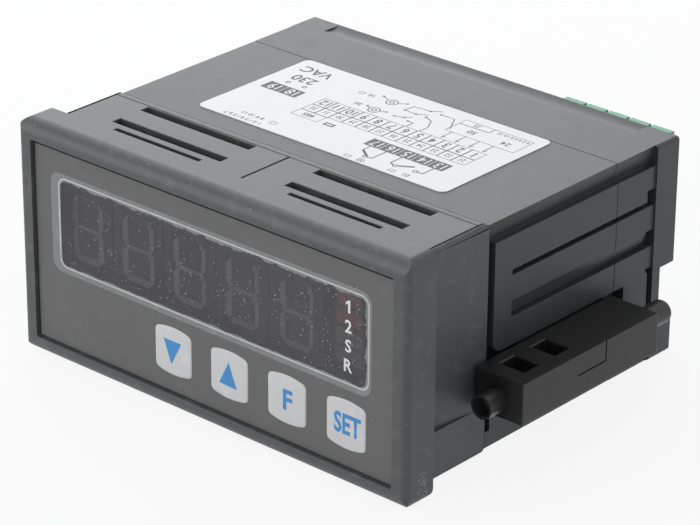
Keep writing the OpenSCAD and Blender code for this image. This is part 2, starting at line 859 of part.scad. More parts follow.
// Body of a key switch on the display board
module key_switch(i) {
    x = key_x + (i - 1) * key_pitch;
    color("#2b2b2d") difference() {
        slab([x - switch_w / 2, x + switch_w / 2], [board_y - switch_d, board_y],
            [key_z - switch_w / 2, key_z + switch_w / 2]);
        bar_y(x, key_z, plunger_d / 2 + run_gap, board_y - switch_d - cut, board_y - switch_floor);
    }
}

// Plunger of a key switch, which ends just behind the film
module key_plunger(i) {
    x = key_x + (i - 1) * key_pitch;
    color("#8f9194") {
        bar_y(x, key_z, plunger_d / 2, wall_y + fit_gap, board_y - switch_floor - plunger_travel - fit_gap);
    }
}

// Main boards, one over the other
module main_board(z) {
    color(board_green) difference() {
        slab([-main_board_w / 2, main_board_w / 2], [main_board_y, main_board_end_y], [z - board_t, z]);
        children();
    }
}

// Holes of a header's pins in the board under it
module pin_holes(poles, pitch, x, board_z) {
    for (i = [1 : poles])
        translate([pole_x(i, poles, pitch, x), header_y - pin_back + pin_w / 2, board_z - board_t - cut])
            cylinder(d = pin_w * sqrt(2) + 2 * pin_gap, h = board_t + 2 * cut);
}

module upper_board() {
    main_board(upper_z) {
        pin_holes(output_poles, upper_pitch, output_x, upper_z);
        pin_holes(supply_poles, upper_pitch, supply_x, upper_z);
    }
}

module lower_board() {
    main_board(lower_z) pin_holes(input_poles, lower_pitch, input_x, lower_z);
}

// Strip that joins a main board to the display board
module board_link(z) {
    color("#232325")
        slab([-link_l / 2, link_l / 2], [board_back_y, board_back_y + link_d], [z, z + link_h]);
}

module controller_chip() {
    color("#1d1d1f") translate([chip_x, 0, chip_z])
        slab([-chip_w / 2, chip_w / 2], [board_back_y, board_back_y + chip_t], [-chip_w / 2, chip_w / 2]);
}

// Supply transformer: iron core round a wound bobbin
module transformer() {
    height = upper_z - board_t - part_gap - lower_z;
    translate([coil_x, coil_y, lower_z]) {
        color("#55575a") slab([-core_w / 2, core_w / 2], [-core_d / 2, core_d / 2], [0, height]);
        color("#c9a23a") slab([coil_gap - core_w / 2, core_w / 2 - coil_gap], [-coil_d / 2, coil_d / 2],
            [0, height - coil_gap]);
    }
}

module supply_capacitor() {
    height = upper_z - board_t - cap_room - lower_z;
    color("#22304e") translate([cap_x, coil_y, lower_z]) cylinder(d = cap_d, h = height);
}

module relay(i) {
    x = relay_x + (i - 1) * relay_pitch;
    color("#1f1f22") translate([x, relay_y, upper_z])
        slab([-relay_w / 2, relay_w / 2], [-relay_d / 2, relay_d / 2], [0, upper_room - part_gap]);
}

// Place of one pole across a terminal
function pole_x(i, poles, pitch, x) = x + (i - (poles + 1) / 2) * pitch;

// Header on a board: a trough that is open at its back and its ends
module header(poles, pitch, x, board_z, height) {
    half = poles * pitch / 2;
    pin_z = board_z + height / 2;
    hole = pin_w / 2 + pin_gap;
    color(plug_green) difference() {
        slab([x - half, x + half], [header_y, header_y + header_d], [board_z, board_z + height]);
        slab([x - half - cut, x + half + cut], [header_y + header_back, header_y + header_d + cut],
            [board_z + header_wall, board_z + height - header_wall]);
        for (i = [1 : poles]) {
            px = pole_x(i, poles, pitch, x);
            slab([px - hole, px + hole], [header_y - cut, header_y + header_back + cut],
                [pin_z - hole, pin_z + hole]);
        }
    }
}

// Bent contact pins of a header
module pins(poles, pitch, x, board_z, height) {
    pin_z = board_z + height / 2;
    half = pin_w / 2;
    color(tin) for (i = [1 : poles]) {
        px = pole_x(i, poles, pitch, x);
        slab([px - half, px + half], [header_y - pin_back, header_y + header_d - pin_short],
            [pin_z - half, pin_z + half]);
        slab([px - half, px + half], [header_y - pin_back, header_y - pin_back + pin_w],
            [board_z - board_t - pin_tail, pin_z + half]);
    }
}

// Outside of a pole's wire clamp, or the room for it when grown by a gap
module clamp_room(px, pitch, z, gap) {
    w = pitch - clamp_side;
    h = pitch + clamp_over;
    slab([px - w / 2 - gap, px + w / 2 + gap], [clamp_y - gap, clamp_y + clamp_d + gap],
        [z - h / 2 - gap, z + h / 2 + gap]);
}

// Way of a wire through a clamp, from its far side to a height outside the plug
module wire_way(px, pitch, z0, z1) {
    w = pitch - clamp_side - 2 * clamp_wall;
    slab([px - w / 2, px + w / 2], [clamp_y + clamp_wall, clamp_y + clamp_d - clamp_wall],
        [min(z0, z1), max(z0, z1)]);
}

// Plug: nose in the header, body behind the rear wall, one screw and one wire way for each pole
module plug(poles, pitch, x, board_z, height, span, clamp_z, wire_z) {
    half = poles * pitch / 2;
    nose_lo = board_z + header_wall + fit_gap;
    nose_hi = board_z + height - header_wall - fit_gap;
    pin_z = board_z + height / 2;
    socket = pin_w / 2 + slide_gap;
    color(plug_green) difference() {
        union() {
            slab([x - half + fit_gap, x + half - fit_gap], [plug_y - nose_d, plug_y + join],
                [nose_lo, nose_hi]);
            slab([x - half, x + half], [plug_y, plug_end_y], span);
        }
        for (i = [1 : poles]) {
            px = pole_x(i, poles, pitch, x);
            slab([px - socket, px + socket], [plug_y - nose_d - cut, plug_y - slide_gap],
                [pin_z - socket, pin_z + socket]);
            clamp_room(px, pitch, clamp_z, pin_gap);
            wire_way(px, pitch, clamp_z, wire_z);
            bar_y(px, clamp_z, (pitch - screw_side) / 2 + pin_gap, clamp_y + clamp_d, plug_end_y + cut);
        }
        for (i = [1 : poles - 1], z = span) {
            edge = pole_x(i, poles, pitch, x) + pitch / 2;
            slab([edge - pole_line / 2, edge + pole_line / 2], [plug_y + pole_line, plug_end_y + cut],
                [z - pole_line, z + pole_line]);
        }
    }
}

// Metal clamps of a plug, one for each pole
module clamps(poles, pitch, x, clamp_z) {
    reach = pitch + clamp_over;
    color(tin) for (i = [1 : poles]) {
        px = pole_x(i, poles, pitch, x);
        difference() {
            clamp_room(px, pitch, clamp_z, 0);
            wire_way(px, pitch, clamp_z - reach, clamp_z + reach);
            bar_y(px, clamp_z, pitch / 4 + run_gap, clamp_y + clamp_d / 2, clamp_y + clamp_d + cut);
        }
    }
}

// Slotted clamp screws of a plug, one for each pole
module screws(poles, pitch, x, clamp_z) {
    head_y = clamp_y + clamp_d + pin_gap;
    head_end_y = plug_end_y - screw_sink;
    color(tin) for (i = [1 : poles]) {
        px = pole_x(i, poles, pitch, x);
        difference() {
            union() {
                bar_y(px, clamp_z, (pitch - screw_side) / 2, head_y, head_end_y);
                bar_y(px, clamp_z, pitch / 4, clamp_y + clamp_d - 2 * clamp_wall, head_y + join);
            }
            slab([px - pitch / 2, px + pitch / 2], [head_end_y - screw_slot, head_end_y + cut],
                [clamp_z - screw_slot / 2, clamp_z + screw_slot / 2]);
        }
    }
}

// Fixing bracket of the right side: block, sliding foot and hooks in one piece
module bracket() {
    line_z = bracket_top - tab_drop;
    line_x = [block_end_x - tab_line, block_end_x + cut];
    color("#353637") difference() {
        union() {
            slab([block_x, block_end_x], [bracket_y, block_end_y], [block_z, bracket_top]);
            slab([foot_x, block_x + join], [foot_y, foot_end_y], [channel_bottom + slide_gap, foot_top]);
            slab([foot_x, lip_half - slide_gap], [foot_end_y - hook_l, foot_end_y],
                [channel_bottom - hook_h + slide_gap, panel_bottom + hook_h - slide_gap]);
        }
        bar_y(rod_x, rod_z, rod_d / 2 + run_gap, bracket_y - cut, block_end_y + cut);
        for (i = [0, 1])
            translate([rod_x - core_hole_w / 2, core_y + i * core_pitch - core_hole_l / 2, rod_z])
                cube([core_hole_w, core_hole_l, bracket_top - rod_z + cut]);
        slab(line_x, [tab_y, tab_y + tab_line], [line_z, bracket_top + cut]);
        slab(line_x, [tab_y - tab_l, tab_y], [line_z, line_z + tab_line]);
    }
}

module bracket_right() {
    bracket();
}

module bracket_left() {
    mirror([1, 0, 0]) bracket();
}

// Clamp rod that a bracket pushes against the back of the panel
module clamp_rod() {
    radius = rod_d / 2;
    color("#2a2a2b") translate([rod_x, rod_y, rod_z]) rotate([-90, 0, 0]) difference() {
        rotate_extrude() {
            square([radius, rod_l - rod_round]);
            square([radius - rod_round, rod_l]);
            translate([radius - rod_round, rod_l - rod_round]) intersection() {
                circle(rod_round);
                square(rod_round);
            }
        }
        translate([0, 0, -cut]) cylinder(r = radius - rod_rim, h = rod_hollow + cut);
    }
}

module clamp_rod_right() {
    clamp_rod();
}

module clamp_rod_left() {
    mirror([1, 0, 0]) clamp_rod();
}

front_frame();
front_film();
display_window();
case();
rear_cover();
wiring_label();
display_board();
for (i = [1 : digit_count]) digit(i);
indicator_block();
for (i = [1 : key_count]) key_switch(i);
for (i = [1 : key_count]) key_plunger(i);
upper_board();
lower_board();
board_link(upper_z);  // upper_board_link
board_link(lower_z);  // lower_board_link
controller_chip();
transformer();
supply_capacitor();
for (i = [1, 2]) relay(i);
header(output_poles, upper_pitch, output_x, upper_z, header_h_upper);  // output_header
header(supply_poles, upper_pitch, supply_x, upper_z, header_h_upper);  // supply_header
header(input_poles, lower_pitch, input_x, lower_z, header_h_lower);  // input_header
pins(output_poles, upper_pitch, output_x, upper_z, header_h_upper);  // output_pins
pins(supply_poles, upper_pitch, supply_x, upper_z, header_h_upper);  // supply_pins
pins(input_poles, lower_pitch, input_x, lower_z, header_h_lower);  // input_pins
plug(output_poles, upper_pitch, output_x, upper_z, header_h_upper,  // output_plug
        upper_span, upper_clamp_z, upper_span[0] - cut);
plug(supply_poles, upper_pitch, supply_x, upper_z, header_h_upper,  // supply_plug
        supply_span, upper_clamp_z, supply_span[0] - cut);
plug(input_poles, lower_pitch, input_x, lower_z, header_h_lower,  // input_plug
        lower_span, lower_clamp_z, lower_span[1] + cut);
clamps(output_poles, upper_pitch, output_x, upper_clamp_z);  // output_clamps
clamps(supply_poles, upper_pitch, supply_x, upper_clamp_z);  // supply_clamps
clamps(input_poles, lower_pitch, input_x, lower_clamp_z);  // input_clamps
screws(output_poles, upper_pitch, output_x, upper_clamp_z);  // output_screws
screws(supply_poles, upper_pitch, supply_x, upper_clamp_z);  // supply_screws
screws(input_poles, lower_pitch, input_x, lower_clamp_z);  // input_screws
bracket_right();
bracket_left();
clamp_rod_right();
clamp_rod_left();
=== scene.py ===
# %% [markdown]
# # Dressing a panel counter
# The CAD model already has every solid at its real size, so this lesson adds what CAD leaves out:
# moulded grain, printed film, smoked glass, wear on edges and a studio to see it in.
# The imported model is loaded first, because each new piece is placed by the boxes of its nodes.

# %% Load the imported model
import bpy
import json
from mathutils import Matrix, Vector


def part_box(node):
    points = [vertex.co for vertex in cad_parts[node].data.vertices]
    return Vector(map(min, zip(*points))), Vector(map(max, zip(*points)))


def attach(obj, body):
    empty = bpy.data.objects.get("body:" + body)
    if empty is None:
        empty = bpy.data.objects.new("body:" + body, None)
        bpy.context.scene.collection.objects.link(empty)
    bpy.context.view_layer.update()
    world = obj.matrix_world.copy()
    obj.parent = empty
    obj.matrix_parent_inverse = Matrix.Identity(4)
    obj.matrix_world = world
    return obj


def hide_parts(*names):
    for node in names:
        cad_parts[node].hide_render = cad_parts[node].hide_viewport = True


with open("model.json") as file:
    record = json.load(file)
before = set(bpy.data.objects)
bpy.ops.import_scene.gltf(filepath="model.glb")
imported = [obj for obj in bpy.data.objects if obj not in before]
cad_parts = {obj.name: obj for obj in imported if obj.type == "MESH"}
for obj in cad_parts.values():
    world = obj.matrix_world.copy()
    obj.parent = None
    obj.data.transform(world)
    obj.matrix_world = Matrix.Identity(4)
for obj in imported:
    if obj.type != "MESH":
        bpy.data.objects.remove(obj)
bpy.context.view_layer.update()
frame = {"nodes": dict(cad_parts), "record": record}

# %% [markdown]
# ## Millimetres and colours
# The drawing of the counter is in millimetres and Blender works in metres, so one factor joins them.
# A colour picked from a picture is stored with a curve that screens need. Light adds up without that curve,
# so each colour code is straightened once, here.

# %% Millimetres and colours
import json
import math

import bmesh
import bpy
from mathutils import Matrix, Vector, noise
from mathutils.geometry import intersect_point_line

MM = 0.001


def paint(code):
    """Turns a code such as #8fa0b0 into straight red, green, blue and alpha. The numbers are sRGB's own."""
    parts = [int(code[i:i + 2], 16) / 255 for i in (1, 3, 5)]
    return [c / 12.92 if c <= 0.04045 else ((c + 0.055) / 1.055) ** 2.4 for c in parts] + [1.0]


print("mid grey is", round(paint("#808080")[0], 3))

# %% [markdown]
# ## Node trees as Python
# A material is a web of nodes, and its maths is easier to read as an expression. A Wire is one value on its
# way through a tree: adding or scaling it adds the Math node for that. A Tree makes any other node in one
# call, and a Finish is a Tree around the Principled surface of one material.


# %% Node trees as Python
class Wire:
    """A value on its way through a node tree. Operators on it add Math nodes."""

    def __init__(self, tree, socket):
        self.tree = tree
        self.socket = socket

    def maths(self, operation, first, second):
        """A Math node on two values, in the tree of this wire."""
        return self.tree.node("ShaderNodeMath", {"operation": operation}, {0: first, 1: second})

    def __add__(self, other):
        return self.maths("ADD", self, other)

    def __radd__(self, other):
        return self.maths("ADD", other, self)

    def __rsub__(self, other):
        return self.maths("SUBTRACT", other, self)

    def __mul__(self, other):
        return self.maths("MULTIPLY", self, other)

    def __rmul__(self, other):
        return self.maths("MULTIPLY", other, self)

    def __gt__(self, other):
        return self.maths("GREATER_THAN", self, other)


class Tree:
    """A node tree, with one method for any kind of node."""

    def __init__(self, tree):
        self.tree = tree

    def node(self, kind, settings=None, inputs=None, out=0):
        """Makes a node, sets it up, joins its inputs and gives back one of its outputs."""
        made = self.tree.nodes.new(kind)
        for key, value in (settings or {}).items():
            setattr(made, key, value)
        for key, value in (inputs or {}).items():
            self.plug(value, made.inputs[key])
        return Wire(self, made.outputs[out])

    def plug(self, value, entry):
        """Joins a wire to a socket, or sets the socket to a plain value."""
        if isinstance(value, Wire):
            self.tree.links.new(value.socket, entry)
        else:
            entry.default_value = value

    def seen_straight(self):
        """1 for what the camera sees, also in a mirror or through glass, and 0 for what only gives light."""
        rays = self.tree.nodes.new("ShaderNodeLightPath")
        camera, glossy, clear = [Wire(self, rays.outputs[name]) for name in (
            "Is Camera Ray", "Is Glossy Ray", "Is Transmission Ray")]
        return camera.maths("MAXIMUM", camera.maths("MAXIMUM", camera, glossy), clear)


class Finish(Tree):
    """One material: a Principled surface, with the nodes that vary it over the piece."""

    # A Mix node has sockets for each kind of value. These are the places of those for colours.
    COLOUR_A, COLOUR_B, COLOUR_OUT = 6, 7, 2

    def __init__(self, name, **sockets):
        self.material = bpy.data.materials.new(name)
        self.material.use_nodes = True
        super().__init__(self.material.node_tree)
        self.surface = self.tree.nodes["Principled BSDF"]
        self.place = self.node("ShaderNodeTexCoord", out="Object")
        for key, value in sockets.items():
            self.feed(key.replace("_", " "), value)

    def feed(self, socket, value):
        """Sets or joins a socket of the surface."""
        self.plug(value, self.surface.inputs[socket])

    def grain(self, per_mm, detail=2.0):
        """Cloudy noise with this many clouds to the millimetre."""
        return self.node("ShaderNodeTexNoise", None,
                         {"Vector": self.place, "Scale": per_mm / MM, "Detail": detail})

    def blend(self, share, colour_a, colour_b):
        """A colour between two others."""
        return self.node("ShaderNodeMix", {"data_type": "RGBA"},
                         {0: share, self.COLOUR_A: colour_a, self.COLOUR_B: colour_b}, out=self.COLOUR_OUT)

    def ramp(self, value, low, high):
        """0 below low, 1 above high, and a straight slope between them."""
        return self.node("ShaderNodeMapRange", None, {"Value": value, "From Min": low, "From Max": high})

    def relief(self, height, depth_mm):
        """Makes the surface look uneven by this depth."""
        bump = self.node("ShaderNodeBump", None, {"Height": height, "Distance": depth_mm * MM})
        self.feed("Normal", bump)


print("ready to mix finishes")

# %% [markdown]
# ## Moulded plastic
# The case, the brackets and the plugs are injection moulded. The steel mould is etched with a fine grain,
# which breaks up the highlights, and the pigment flows a little unevenly. A flat colour with one roughness
# would look like paint, so a fine noise drives the relief and the gloss, and a broad one drives the shade.
# A third noise leaves paler, duller patches, as handling does.

# %% Moulded plastic
BROAD_PER_MM, BROAD_DETAIL = 0.05, 3.0
SCUFFS_PER_MM, SCUFFS_DETAIL = 0.35, 6.0
SCUFFS_FROM, SCUFFS_TO, SCUFFS_LIGHTER = 0.56, 0.74, 1.6
GRAIN_ROUGH, SCUFFS_ROUGH = 0.1, 0.05


def lighter(colour, factor):
    """A colour made lighter, or darker where the factor is below 1."""
    return [min(c * factor, 1.0) for c in colour[:3]] + [1.0]


def moulded(name, code, rough, per_mm, depth_mm, level=0.4, drift=0.08, wear=0.25):
    """A moulded plastic: its colour, roughness, grain, how far its shade drifts and how scuffed it is."""
    finish = Finish(name, Specular_IOR_Level=level)
    fine = finish.grain(per_mm)
    broad = finish.grain(BROAD_PER_MM, BROAD_DETAIL)
    scuffs = finish.ramp(finish.grain(SCUFFS_PER_MM, SCUFFS_DETAIL), SCUFFS_FROM, SCUFFS_TO)
    colour = paint(code)
    shade = finish.blend(broad, lighter(colour, 1 - drift), lighter(colour, 1 + drift))
    finish.feed("Base Color", finish.blend(scuffs * wear, shade, lighter(colour, SCUFFS_LIGHTER)))
    finish.feed("Roughness", rough - GRAIN_ROUGH / 2 + GRAIN_ROUGH * fine + SCUFFS_ROUGH * scuffs)
    finish.relief(fine, depth_mm)
    return finish


case_grey = moulded("case_grey", "#393c40", 0.45, 2.6, 0.012, level=0.45)
# The frame is the case's plastic painted paler, as painted light on it. Its stronger scuffs are wear.
frame_grey = moulded("frame_grey", "#4d4f51", 0.47, 2.6, 0.012, level=0.5, drift=0.1, wear=0.8)
bracket_black = moulded("bracket_black", "#191919", 0.42, 2.2, 0.010, level=0.45)
rod_black = moulded("rod_black", "#2b2b2c", 0.36, 1.2, 0.006, level=0.45)
terminal_green = moulded("terminal_green", "#3f9a72", 0.38, 1.6, 0.008, level=0.45)
part_black = moulded("part_black", "#232426", 0.45, 2.0, 0.010)
plunger_grey = moulded("plunger_grey", "#8d8f91", 0.45, 2.0, 0.008)
print("moulded finishes:", [m.name for m in bpy.data.materials])

# %% [markdown]
# ## Film, glass and label
# The front is a printed polyester film with a matt grain. Where the print stops, it is clear and shows the
# smoked window behind it. Both layers are see-through, so they use the surface's alpha: Cycles then looks
# straight through, as it would through thin plastic. The label is a white film with a slight unevenness.
# Prints, glue and dust are thin and dull, so the recipe for moulded plastic serves them too.

# %% Film, glass and label
film_print = moulded("film_print", "#656565", 0.5, 4.0, 0.008, drift=0.03)
key_print = moulded("key_print", "#d3d5d6", 0.42, 3.0, 0.006, drift=0.02)
legend_blue = moulded("legend_blue", "#4a92d0", 0.45, 3.0, 0.004, level=0.3, drift=0.04)
legend_white = moulded("legend_white", "#e6e7e7", 0.45, 3.0, 0.004, level=0.3, drift=0.03)
adhesive = moulded("adhesive", "#868788", 0.5, 1.5, 0.010, level=0.3, drift=0.06)
bead_light = moulded("bead_light", "#c8caca", 0.35, 1.0, 0.006, drift=0.1)
label_paper = moulded("label_paper", "#f3f4f6", 0.5, 1.2, 0.006, level=0.2, drift=0.015)
label_ink = moulded("label_ink", "#55565a", 0.5, 2.0, 0.004, level=0.3, drift=0.06)
label_dark = moulded("label_dark", "#505155", 0.5, 2.0, 0.004, level=0.3, drift=0.06)
dust_white = moulded("dust_white", "#b9babb", 0.7, 3.0, 0.010, level=0.2, drift=0.1)

clear_film = Finish("clear_film", Specular_IOR_Level=0.4, Base_Color=paint("#828184"))
haze = clear_film.grain(0.1, 3.0)
clear_film.feed("Roughness", 0.4 + 0.1 * haze)
clear_film.feed("Alpha", 0.28 + 0.1 * haze)

smoked = Finish("smoked", Specular_IOR_Level=0.3, Base_Color=paint("#241f22"))
smoked.feed("Roughness", 0.16 + 0.06 * smoked.grain(0.2))
smoked.feed("Alpha", 0.14 + 0.04 * smoked.grain(0.08))
print("film, glass and label are mixed")

# %% [markdown]
# ## Display, boards and metal
# Behind the window sit the digit modules: a dark face with diffusing bars that are dull grey when they are
# off. The boards are green solder mask over copper, which shows as slightly lighter tracks. A brick pattern
# draws them. The transformer's core is a stack of sheets, which a wave pattern draws, and the clamps are
# tinned brass.

# %% Display, boards and metal
digit_face = moulded("digit_face", "#3b3638", 0.45, 2.0, 0.006)
digit_bar_grey = moulded("digit_bar_grey", "#a09a9b", 0.5, 2.4, 0.006, drift=0.06)
lamp_red = moulded("lamp_red", "#a45457", 0.5, 2.4, 0.006)
lamp_brown = moulded("lamp_brown", "#736d6c", 0.5, 2.4, 0.006)

TRACK_W, TRACK_L, TRACK_STEP = 0.4, 9.0, 2.5
board_green = Finish("board_green", Specular_IOR_Level=0.5)
tracks = board_green.node("ShaderNodeTexBrick", None, {
    "Vector": board_green.place, "Scale": 1.0,
    "Mortar Size": TRACK_W * MM, "Brick Width": TRACK_L * MM, "Row Height": TRACK_STEP * MM}, out="Fac")
board_green.feed("Base Color", board_green.blend(tracks, paint("#1c5f38"), paint("#35804f")))
board_green.feed("Roughness", 0.34 + 0.12 * board_green.grain(0.6))
board_green.relief(tracks, 0.02)

tinned = Finish("tinned", Metallic=1.0)
tarnish = tinned.grain(0.9, 4.0)
tinned.feed("Base Color", tinned.blend(tarnish, paint("#b9babb"), paint("#dfe0e0")))
tinned.feed("Roughness", 0.28 + 0.2 * tarnish)
tinned.relief(tinned.grain(2.5), 0.006)

iron = Finish("iron", Metallic=0.6)
sheets = iron.node("ShaderNodeTexWave", {"bands_direction": "Y"}, {
    "Vector": iron.place, "Scale": 300.0, "Distortion": 0.4})
iron.feed("Base Color", iron.blend(sheets, paint("#4a4c4f"), paint("#6a6d70")))
iron.feed("Roughness", 0.45 + 0.15 * iron.grain(1.0))
iron.relief(sheets, 0.03)

sleeve_blue = moulded("sleeve_blue", "#22304e", 0.3, 0.8, 0.006, level=0.5)
print("materials:", len(bpy.data.materials))

# %% [markdown]
# ## Every solid gets its finish
# Most solids of the CAD model are shown as they are. The record says which material slot each of them has,
# so a table from slot to finish paints them all at once.

# %% Every solid gets its finish
FINISHES = {
    "case_plastic": case_grey, "front_film": film_print, "smoked_window": smoked, "label_film": label_paper,
    "circuit_board": board_green, "display_epoxy": digit_face, "black_plastic": part_black,
    "grey_plastic": plunger_grey, "transformer_iron": iron, "capacitor_sleeve": sleeve_blue,
    "terminal_green": terminal_green, "tinned_brass": tinned, "bracket_plastic": bracket_black,
    "rod_plastic": rod_black}

slot_of = {part["node"]: part["material_slot"] for part in frame["record"]["subparts"]}
body_of = {node: body for body, nodes in frame["record"]["behaviour"]["bodies"].items() for node in nodes}


def finish_of(node):
    """The finish of a solid. The front frame is painted paler than the case behind it, as painted light, and
    it is more scuffed.
    """
    return frame_grey if node == "front_frame" else FINISHES[slot_of[node]]


for name, solid in frame["nodes"].items():
    solid.data.materials.clear()
    solid.data.materials.append(finish_of(name).material)
print("painted", len(slot_of), "solids")

# %% [markdown]
# ## From a work piece to a finished one
# A curve, a word or a mesh with modifiers is only a recipe for a shape. Each is held by an object for a
# moment, read as a plain mesh, and then settled: the mesh gets its finish and a body to ride on, and it
# names the solids that it stands for, so that these are not shown as well.


# %% From a work piece to a finished one
def evaluated_mesh(holder):
    """The mesh that an object shows with its modifiers, as plain data."""
    graph = bpy.context.evaluated_depsgraph_get()
    return bpy.data.meshes.new_from_object(holder.evaluated_get(graph))


def holder_of(name, data):
    """An object in the scene that holds this data."""
    held = bpy.data.objects.new(name, data)
    bpy.context.scene.collection.objects.link(held)
    return held


def settle(name, mesh, finish, body, slot, *replaced):
    """Shows a finished mesh: it rides on a body and stands for the solids that it replaces."""
    mesh.materials.clear()
    mesh.materials.append(finish.material)
    piece = holder_of(name, mesh)
    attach(piece, body)
    if replaced:
        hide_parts(*replaced)
    return piece


print("bodies to ride on:", len(set(body_of.values())))

# %% [markdown]
# ## Soft edges
# No moulded edge is perfectly sharp: the mould leaves a tiny radius that catches a line of light. The Bevel
# modifier makes it. A solid from CAD arrives as loose triangles, so a copy is first merged and its flat
# faces are joined up. Then only real edges are left to bevel. A bevel that is wider than the face beside it
# would turn that face inside out, so each edge gets a weight from the room that it has. The copy stands in
# for the solid.

# %% Soft edges
SAME_POINT = 0.002 * MM
SAME_PLANE, REAL_EDGE = math.radians(0.4), math.radians(12)
BEVEL_ROOM, BEVEL_STEPS = 0.2, 2


def room_beside(edge):
    """Distance from an edge to the nearest other corner of its two faces."""
    a, b = [corner.co for corner in edge.verts]
    gaps = []
    for face in edge.link_faces:
        for corner in face.verts:
            if corner not in edge.verts:
                share = intersect_point_line(corner.co, a, b)[1]
                gaps.append((corner.co - a.lerp(b, min(max(share, 0.0), 1.0))).length)
    return min(gaps)


def merged_copy(node, width_mm):
    """A copy of a solid without doubles and flat seams. Its real edges have their bevel weight."""
    mesh = frame["nodes"][node].data.copy()
    if "custom_normal" in mesh.attributes:
        mesh.attributes.remove(mesh.attributes["custom_normal"])
    work = bmesh.new()
    work.from_mesh(mesh)
    bmesh.ops.remove_doubles(work, verts=work.verts, dist=SAME_POINT)
    bmesh.ops.dissolve_limit(work, angle_limit=SAME_PLANE, verts=work.verts, edges=work.edges)
    weight = work.edges.layers.float.new("bevel_weight_edge")
    for edge in work.edges:
        if edge.calc_face_angle(0.0) > REAL_EDGE:
            edge[weight] = min(1.0, BEVEL_ROOM * room_beside(edge) / (width_mm * MM))
    for face in work.faces:
        face.smooth = True
    work.to_mesh(mesh)
    work.free()
    return mesh


def softened(node, width_mm):
    """A copy of a CAD solid with small rounded edges, in place of the solid."""
    holder = holder_of(node + "_work", merged_copy(node, width_mm))
    bevel = holder.modifiers.new("edges", "BEVEL")
    bevel.width = width_mm * MM
    bevel.segments = BEVEL_STEPS
    bevel.limit_method = "WEIGHT"
    bevel.use_clamp_overlap = False
    holder.modifiers.new("shade", "WEIGHTED_NORMAL")
    shown = evaluated_mesh(holder)
    bpy.data.objects.remove(holder)
    piece = settle(node + "_soft", shown, finish_of(node), body_of[node], slot_of[node], node)
    print(node, "has", len(shown.polygons), "faces")
    return piece


EDGE_WIDTHS = {"front_frame": 0.15, "case": 0.09, "rear_cover": 0.09, "bracket_right": 0.32,
               "bracket_left": 0.32, "output_plug": 0.1, "supply_plug": 0.1, "input_plug": 0.1}
shells = {node: softened(node, width) for node, width in EDGE_WIDTHS.items()}

# %% [markdown]
# ## Flat sheets from outlines
# Film, glue, ink and paper are all flat sheets, some with holes. Flat shapes with holes are what 2D curves
# are for: closed outlines become a filled, slightly thick curve, and that becomes a mesh. The sheets are
# drawn in X and Y, in millimetres. One matrix then scales them and turns them to face the front.


# %% Flat sheets from outlines
def rounded_outline(width, height, radius, x=0.0, y=0.0, steps=8):
    """Points round a rectangle with rounded corners."""
    points = []
    for turn, (sx, sy) in enumerate([(1, 1), (-1, 1), (-1, -1), (1, -1)]):
        for i in range(steps + 1):
            a = math.radians(90 * (turn + i / steps))
            points.append((x + sx * (width / 2 - radius) + radius * math.cos(a),
                           y + sy * (height / 2 - radius) + radius * math.sin(a)))
    return points


def sheet(outlines, thick):
    """A flat sheet from closed outlines, the inner ones cut out. Its back lies at height 0."""
    curve = bpy.data.curves.new("sheet", "CURVE")
    curve.dimensions = "2D"
    curve.fill_mode = "BOTH"
    curve.extrude = thick / 2
    for outline in outlines:
        spline = curve.splines.new("POLY")
        spline.points.add(len(outline) - 1)
        for point, (x, y) in zip(spline.points, outline):
            point.co = (x, y, 0, 1)
        spline.use_cyclic_u = True
    holder = holder_of("sheet", curve)
    mesh = evaluated_mesh(holder)
    bpy.data.objects.remove(holder)
    return moved(mesh, 0, 0, thick / 2)


def moved(mesh, x, y, z=0.0):
    """Shifts a mesh."""
    mesh.transform(Matrix.Translation((x, y, z)))
    return mesh


def on_front(mesh, back_y):
    """Turns a flat mesh that was drawn in X and Y to face the front, with its back at this depth."""
    mesh.transform(Matrix(((MM, 0, 0, 0), (0, 0, -MM, back_y * MM), (0, MM, 0, 0), (0, 0, 0, 1))))
    return mesh


print("a rounded rectangle has", len(rounded_outline(2, 1, 0.1)), "points")

# %% [markdown]
# ## The printed film
# The film is one thin sheet, but its print makes it look like several: matt grey, a clear window and four
# white keys. So it is made of several, with holes in the grey one for the others. A key has straight sides
# and bulges above and below: a parabola makes the bulge, and a short curve makes each corner. The film
# leaves a hair of its dark tape open along its top edge, as a painted shadow line under the frame's rim.

# %% The printed film
FILM_T, FILM_CLEAR_T, FILM_R, FILM_GAP = 0.35, 0.3, 0.2, 0.4
TAPE_T, TAPE_W, TAPE_R, OVERLAP = 0.05, 2.0, 0.3, 0.2
BAND_W, BAND_H, BAND_R, BAND_X, BAND_Z = 79.4, 20.3, 2.3, -0.6, 5.2
KEY_COUNT, KEY_X, KEY_Z, KEY_STEP = 4, -8.85, -11.8, 14.1
KEY_HALF_W, KEY_HALF_H, KEY_BULGE, KEY_R, KEY_CORNER_LIFT = 4.58, 4.1, 0.75, 0.9, 0.05
BULGE_STEPS, CORNER_STEPS = 12, 5


def quadratic(a, b, c, t):
    """A point on the curve from a to c that is drawn towards b."""
    return tuple((1 - t) ** 2 * p + 2 * t * (1 - t) * q + t * t * r for p, q, r in zip(a, b, c))


def key_half(side):
    """Half of a key's outline: a bulging edge between two corners. The side is 1 above and -1 below."""
    edge = []
    for i in range(BULGE_STEPS + 1):
        x = (1 - 2 * i / BULGE_STEPS) * (KEY_HALF_W - KEY_R)
        edge.append((side * x, side * (KEY_HALF_H + KEY_BULGE * (1 - (x / KEY_HALF_W) ** 2))))
    near, far = [(side * s * KEY_HALF_W, side * (KEY_HALF_H - KEY_R)) for s in (1, -1)]
    near_tip, far_tip = [(side * s * KEY_HALF_W, side * (KEY_HALF_H + KEY_CORNER_LIFT)) for s in (1, -1)]
    first = [quadratic(near, near_tip, edge[0], i / CORNER_STEPS) for i in range(CORNER_STEPS)]
    last = [quadratic(edge[-1], far_tip, far, i / CORNER_STEPS) for i in range(1, CORNER_STEPS + 1)]
    return first + edge + last


